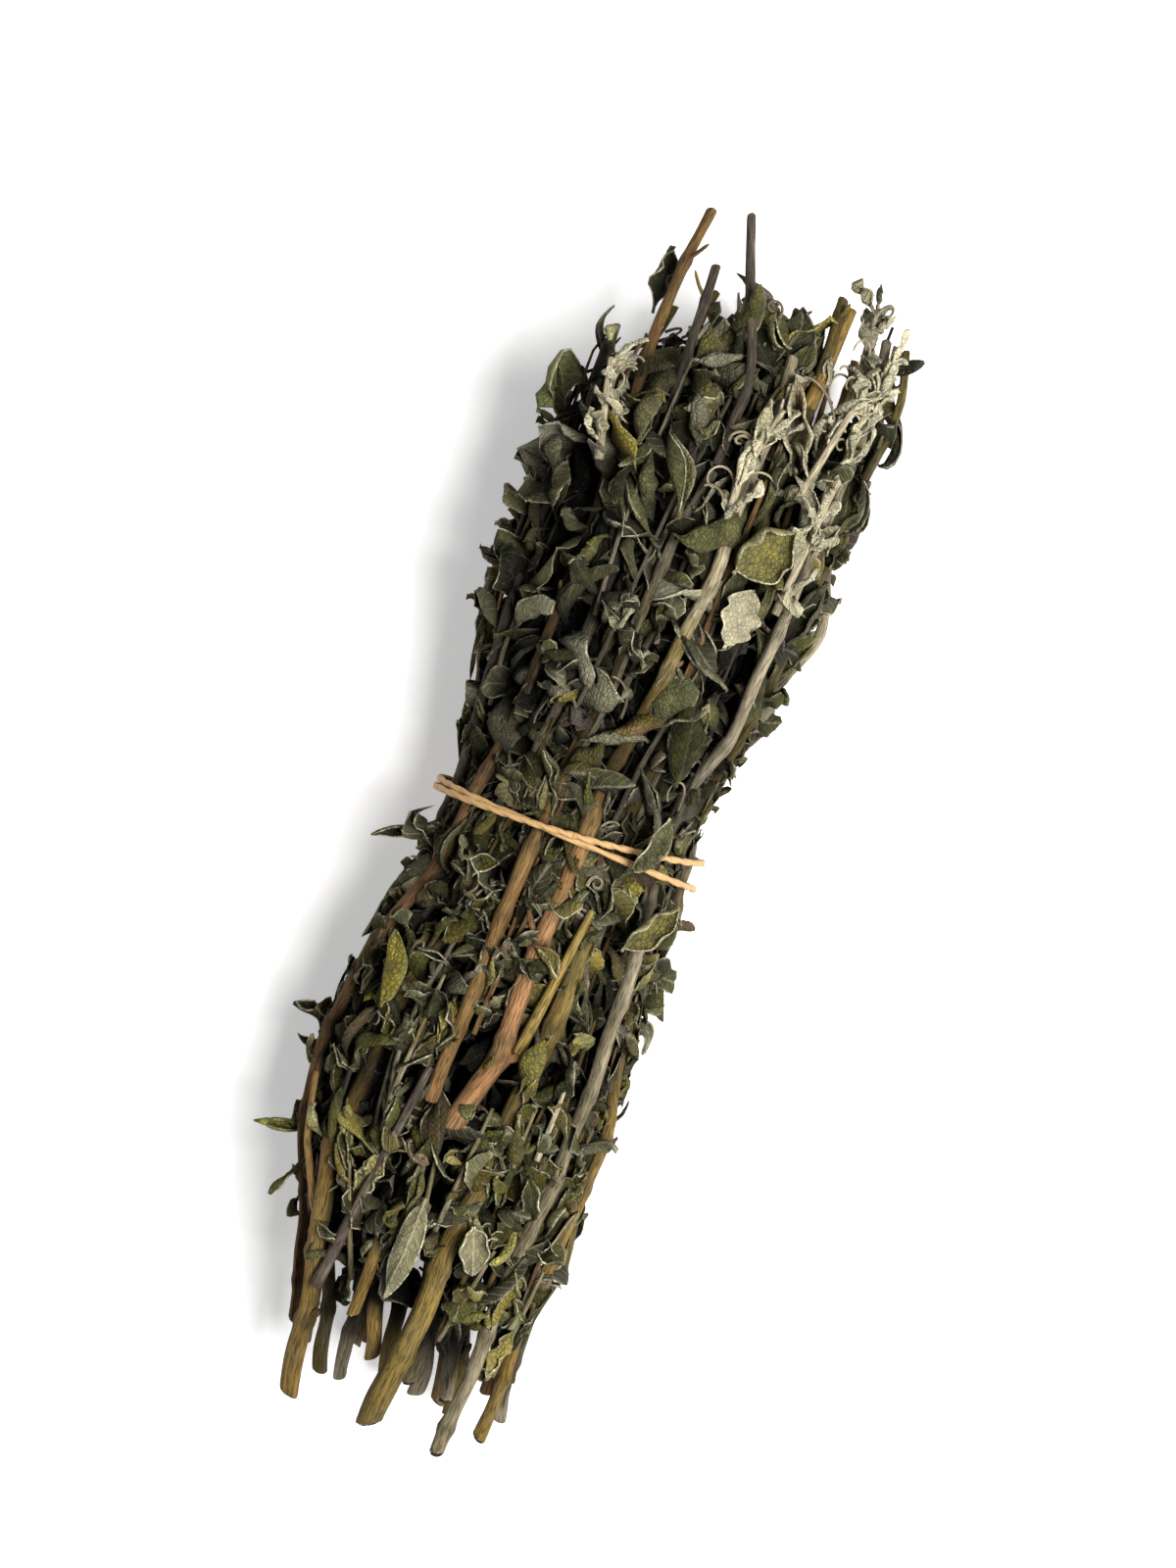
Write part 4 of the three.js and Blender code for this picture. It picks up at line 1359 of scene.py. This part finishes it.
# What a single leaf is where its own settings say nothing. Besides the shape numbers of
# a batch, 'size' and 'wide' scale it against its CAD node, 'rise' lifts it off the
# bundle, and 'round_by' moves it round the bundle's middle line.
PLAIN_LEAF = {
    "lift": 0.0, "bend": 0.0, "curl": 0.0, "sway": 0.0, "roll": 0.0, "twist": 0.0,
    "stalk": 0.08, "fullness": 0.9, "bluntness": 0.6, "fold": 0.1, "furl_left": 0.3,
    "furl_right": 0.3, "ripple": 0.4, "waves": 2.0, "phase_left": 0.6, "phase_right": 2.1,
    "hem": -1.5, "crumple": 0.35, "tone": 0.5, "wool": 0.0, "light": 1.0, "size": 1.15,
    "wide": 1.0, "rise": 0.8, "round_by": 0.0,
}
SINGLE_LEAVES = {
    "leaf_cupped": {
        "tone": 0.59, "light": 1.5, "fold": 0.3, "furl_left": 0.9, "furl_right": 1.2,
        "bend": 0.2, "curl": 0.9, "lift": -0.1, "fullness": 0.9, "bluntness": 0.4,
        "hem": 1.5, "size": 1.1, "wide": 1.2, "rise": 0.6,
    },
    "leaf_grey": {
        "tone": 0.55, "wool": 0.7, "fold": -0.12, "furl_left": -0.2, "furl_right": 0.3,
        "hem": 0.0, "fullness": 1.2, "bluntness": 0.5, "size": 1.05, "bend": -0.3,
        "ripple": 0.6, "waves": 3.4,
    },
    "leaf_dark": {
        "tone": 0.06, "furl_left": -1.2, "furl_right": -2.2, "bend": -0.4, "size": 1.35,
        "hem": 0.6,
    },
    "leaf_over_band": {
        "tone": 0.50, "wool": 0.06, "fold": 0.55, "furl_left": 0.9, "furl_right": 0.3,
        "bend": -0.5, "lift": 0.15, "size": 0.9, "flip": True,
    },
    "leaf_folded": {
        "tone": 0.60, "light": 1.2, "fold": 0.85, "furl_left": 0.4, "furl_right": -0.5,
        "bend": 0.6, "hem": 2.5, "size": 1.35, "bluntness": 0.5,
    },
    "leaf_veined": {
        "tone": 0.57, "wool": 0.22, "fold": 0.15, "furl_left": 0.7, "furl_right": 0.4,
        "bend": -0.3, "size": 1.1, "wide": 0.68, "twist": 0.5, "flip": True, "under_up": True,
    },
    "leaf_round": {
        "tone": 0.58, "wool": 0.26, "fold": -0.3, "furl_left": -0.7, "furl_right": -0.4,
        "fullness": 0.75, "bluntness": 0.45, "size": 1.0, "flip": True, "under_up": True,
    },
    "leaf_olive": {
        "tone": 0.70, "light": 1.5, "furl_left": -1.2, "furl_right": -1.7, "bend": 0.5,
        "size": 1.25, "twist": 0.5, "round_by": 0.28,
    },
}


def build_single_leaf(node):
    """A single leaf laid along its CAD node: its direction, length and width are the
    node's own long and middle axes, and its upper face looks away from the bundle."""
    settings = {**PLAIN_LEAF, **SINGLE_LEAVES[node]}
    points = node_points(node)
    middle = (points.min(0) + points.max(0)) / 2
    _, _, axes = np.linalg.svd(points - points.mean(0), full_matrices=False)
    spans = np.ptp((points - middle) @ axes.T, axis=0)
    angle, share = ENVELOPE.place(middle)
    middle = ENVELOPE.point(middle[0], angle + settings["round_by"], share)
    ahead = axes[0] * np.sign(axes[0][0]) * (-1 if settings.get("flip") else 1)
    outward = np.append(0.0, middle[1:] - ENVELOPE.middle(middle[0]))
    up = unit(outward - ahead * (outward @ ahead))
    facing = -1 if settings.get("under_up") else 1
    length = spans[0] * settings["size"]
    leaf = {key: np.array([value]) for key, value in settings.items() if isinstance(value, float)}
    leaf["length"] = np.array([length])
    leaf["width"] = np.array([spans[1] * settings["size"] * settings["wide"]])
    leaf["root"] = (middle - ahead * length * 0.5 + up * settings["rise"])[None]
    leaf["ahead"], leaf["up"] = ahead[None], up[None] * facing
    leaf["number"] = np.array([float(len(node) * 17)])
    rings, values = blade_rings(leaf, SINGLE_ROWS, SINGLE_COLUMNS)
    shells = Shells()
    looks = {key: settings[key] for key in ("tone", "wool", "light")}
    shells.add(above_floor(rings), LEAF, **looks, **values)
    add_piece(node + "_blade", shells, "leaf", node)


# Rubber band.

STRAND_THICK = 1.1
STRAND_HALF_WIDTH = 0.78
STRAND_HALF_DEPTH = 0.57
STRAND_GAP = 0.3
BAND_CROSSING = math.radians(78)
BAND_ROWS = 900
BAND_RING = 16
STRAND_TWISTS = 62
# Degrees round from the crossing, then half the way between the two turns there, the
# shift of both along X, and how far the upper turn is lifted over the lower one.
BAND_TRACK = np.array([
    (-180, -2.2, -1.0, 0.0), (-130, -1.3, -0.8, 0.0), (-85, -1.0, -0.7, 0.1), (-55, -0.8, -1.2, 0.7),
    (-30, -0.5, -1.8, 1.0), (0, 0.0, -2.2, 1.0), (25, 0.8, -2.2, 1.0), (50, 1.8, -1.9, 0.4),
    (80, 2.8, -1.5, 0.0), (102, 3.2, -1.3, 0.0), (140, 3.0, -1.1, 0.0), (180, 2.2, -1.0, 0.0),
])


def band_loop():
    """The strand's middle line over two turns, closed. Each turn is an oval a gap and
    half a thickness outside the waist; the second turn swaps the strand to the other
    side of their shared line."""
    lifted_room = 2 * (STRAND_THICK + STRAND_GAP)
    half_y = (BAND_HIGH[1] - BAND_LOW[1]) / 2 - STRAND_THICK / 2
    half_z = (BAND_HIGH[2] - BAND_LOW[2] - lifted_room / 2 - STRAND_THICK) / 2
    middle_y = (BAND_HIGH[1] + BAND_LOW[1]) / 2
    middle_z = BAND_LOW[2] + STRAND_THICK / 2 + half_z
    turned = np.linspace(0, 2 * TURN, BAND_ROWS, endpoint=False) - math.pi
    second = turned > math.pi
    local = np.degrees(np.where(second, turned - TURN, turned))
    apart, shift, lift = (np.interp(local, BAND_TRACK[:, 0], BAND_TRACK[:, k]) for k in (1, 2, 3))
    side = np.where(second, -1.0, 1.0)
    window = np.hanning(45) / np.hanning(45).sum()

    def evened(values):
        return np.convolve(np.concatenate([values[-22:], values, values[:22]]), window, "valid")

    x = BAND_X + evened(shift + apart * side)
    outward = evened(np.where(second, 0, lift)) * (STRAND_THICK + 0.1)
    angle = BAND_CROSSING + turned
    normal = unit(np.stack([half_z * np.cos(angle), half_y * np.sin(angle)], 1))
    y = middle_y + half_y * np.cos(angle) + normal[:, 0] * outward
    z = middle_z + half_z * np.sin(angle) + normal[:, 1] * outward
    return np.stack([x, y, z], 1), np.concatenate([np.zeros((len(x), 1)), normal], 1)


def build_band():
    """One strand wound twice round the bundle. Its section is a soft-edged flat oval
    that turns steadily along the strand, so the strand looks twisted."""
    path, normal = band_loop()
    start = int(BAND_ROWS * 0.27)
    path, normal = (np.roll(values, -start, 0) for values in (path, normal))
    path, normal = (np.concatenate([values, values[:1]]) for values in (path, normal))
    ahead = unit(np.gradient(path, axis=0))
    ahead[0] = ahead[-1] = unit(path[1] - path[-2])
    normal = unit(normal - ahead * (normal * ahead).sum(1, keepdims=True))
    aside = np.cross(normal, ahead)
    share = np.linspace(0, 1, len(path))[:, None]
    turn = share * STRAND_TWISTS * math.pi + 6.0 * np.sin(share * TURN * 3)
    angle = np.arange(BAND_RING)[None] * TURN / BAND_RING
    across = STRAND_HALF_WIDTH * np.sign(np.cos(angle)) * np.abs(np.cos(angle)) ** 0.7
    deep = STRAND_HALF_DEPTH * np.sign(np.sin(angle)) * np.abs(np.sin(angle)) ** 0.7
    out_aside = across * np.cos(turn) - deep * np.sin(turn)
    out_normal = across * np.sin(turn) + deep * np.cos(turn)
    rings = path[:, None] + aside[:, None] * out_aside[..., None] + normal[:, None] * out_normal[..., None]
    shells = Shells()
    shells.add(rings[None], RUBBER, bark_place=round_place(rings[None], np.zeros(1)))
    add_piece("band_strand", shells, "band", BAND_NODE)


# Stage, light and camera.

# The floor lies just under the lowest leaf, in millimetres, and is this wide in metres.
FLOOR_DROP = 0.25
FLOOR_SIZE = 6.0
# The view looks straight down. Its centre is measured from the middle of the band, at a
# height above the floor, and it takes in this much along its longer side there.
UP_IN_VIEW = np.array([0.942, 0.336, 0.0])
RIGHT_IN_VIEW = np.array([0.336, -0.942, 0.0])
VIEW_CENTRE = (10.0, -0.8, 35.0)
VIEW_HEIGHT = 352.0
LENS = 80.0
SENSOR = 36.0


def add_floor():
    half = FLOOR_SIZE / 2
    corners = [(-half, -half), (half, -half), (half, half), (-half, half)]
    mesh = bpy.data.meshes.new("floor")
    mesh.from_pydata([(x, y, -FLOOR_DROP * MM) for x, y in corners], [], [(0, 1, 2, 3)])
    pale = Recipe("pale_floor", Roughness=0.9, Emission_Strength=0.38)
    pale.feed(pale.shader.inputs["Base Color"], (0.9, 0.9, 0.9, 1))
    pale.feed(pale.shader.inputs["Emission Color"], (1, 1, 1, 1))
    mesh.materials.append(pale.material)
    floor = bpy.data.objects.new("floor", mesh)
    bpy.context.scene.collection.objects.link(floor)


def add_area(name, target, direction, distance, size, power, colour):
    lamp = bpy.data.lights.new(name, "AREA")
    lamp.size = size
    lamp.energy = power
    lamp.color = colour
    holder = bpy.data.objects.new(name, lamp)
    offset = Vector(unit(direction)) * distance
    holder.location = target + offset
    holder.rotation_euler = offset.to_track_quat("Z", "Y").to_euler()
    bpy.context.scene.collection.objects.link(holder)


# The surround is pale at the horizon and dims upwards: from and to the sines of two
# elevations, its strength falls from one number to another.
HORIZON = {"From Min": 0.10, "From Max": 0.34, "To Min": 0.55, "To Max": 0.10}
ABOVE = np.array([0.0, 0.0, 1.0])
FROM_RIGHT = RIGHT_IN_VIEW * 0.8 - UP_IN_VIEW * 0.2
# Soft lamps: the direction they shine from, their distance, size, power and colour.
LAMPS = {
    "key": (FROM_RIGHT + ABOVE * 1.5, 1.3, 0.7, 31.0, (1.0, 0.985, 0.96)),
    "fill": (ABOVE - FROM_RIGHT * 0.6, 1.5, 1.0, 1.5, (0.95, 0.97, 1.0)),
}


def add_surround():
    world = bpy.data.worlds.new("soft_surround")
    world.use_nodes = True
    nodes, links = world.node_tree.nodes, world.node_tree.links
    direction = nodes.new("ShaderNodeTexCoord")
    parts = nodes.new("ShaderNodeSeparateXYZ")
    height = nodes.new("ShaderNodeMapRange")
    links.new(direction.outputs["Generated"], parts.inputs[0])
    links.new(parts.outputs["Z"], height.inputs["Value"])
    links.new(height.outputs["Result"], nodes["Background"].inputs["Strength"])
    for socket, value in HORIZON.items():
        height.inputs[socket].default_value = value
    nodes["Background"].inputs["Color"].default_value = (1, 1, 1, 1)
    bpy.context.scene.world = world


def add_camera(target):
    lens = bpy.data.cameras.new("view")
    lens.lens = LENS
    lens.sensor_width = SENSOR
    lens.clip_end = 20.0
    camera = bpy.data.objects.new("view", lens)
    distance = VIEW_HEIGHT * MM / 2 / (SENSOR / 2 / LENS)
    axes = np.stack([RIGHT_IN_VIEW, UP_IN_VIEW, [0, 0, 1]], 1)
    axes[:, :2] = unit(axes[:, :2].T).T
    camera.matrix_world = Matrix.Translation(target + Vector((0, 0, distance))) @ Matrix(axes).to_4x4()
    bpy.context.scene.collection.objects.link(camera)
    bpy.context.scene.camera = camera


def view_target():
    band = (BAND_LOW + BAND_HIGH) / 2
    return Vector((BAND_X + VIEW_CENTRE[0], band[1] + VIEW_CENTRE[1], VIEW_CENTRE[2])) * MM


TARGET = view_target()
add_camera(TARGET)
add_floor()
add_surround()
for lamp_name, lamp_settings in LAMPS.items():
    add_area(lamp_name, TARGET, *lamp_settings)
bpy.context.scene.view_settings.view_transform = "Standard"

for index, stem in enumerate(STEM_NODES):
    build_stem(stem, index)
for sprig in (*OUTER_SPRIGS, *INNER_SPRIGS):
    build_foliage(sprig)
for leaf_node in LEAF_NODES:
    build_single_leaf(leaf_node)

build_band()
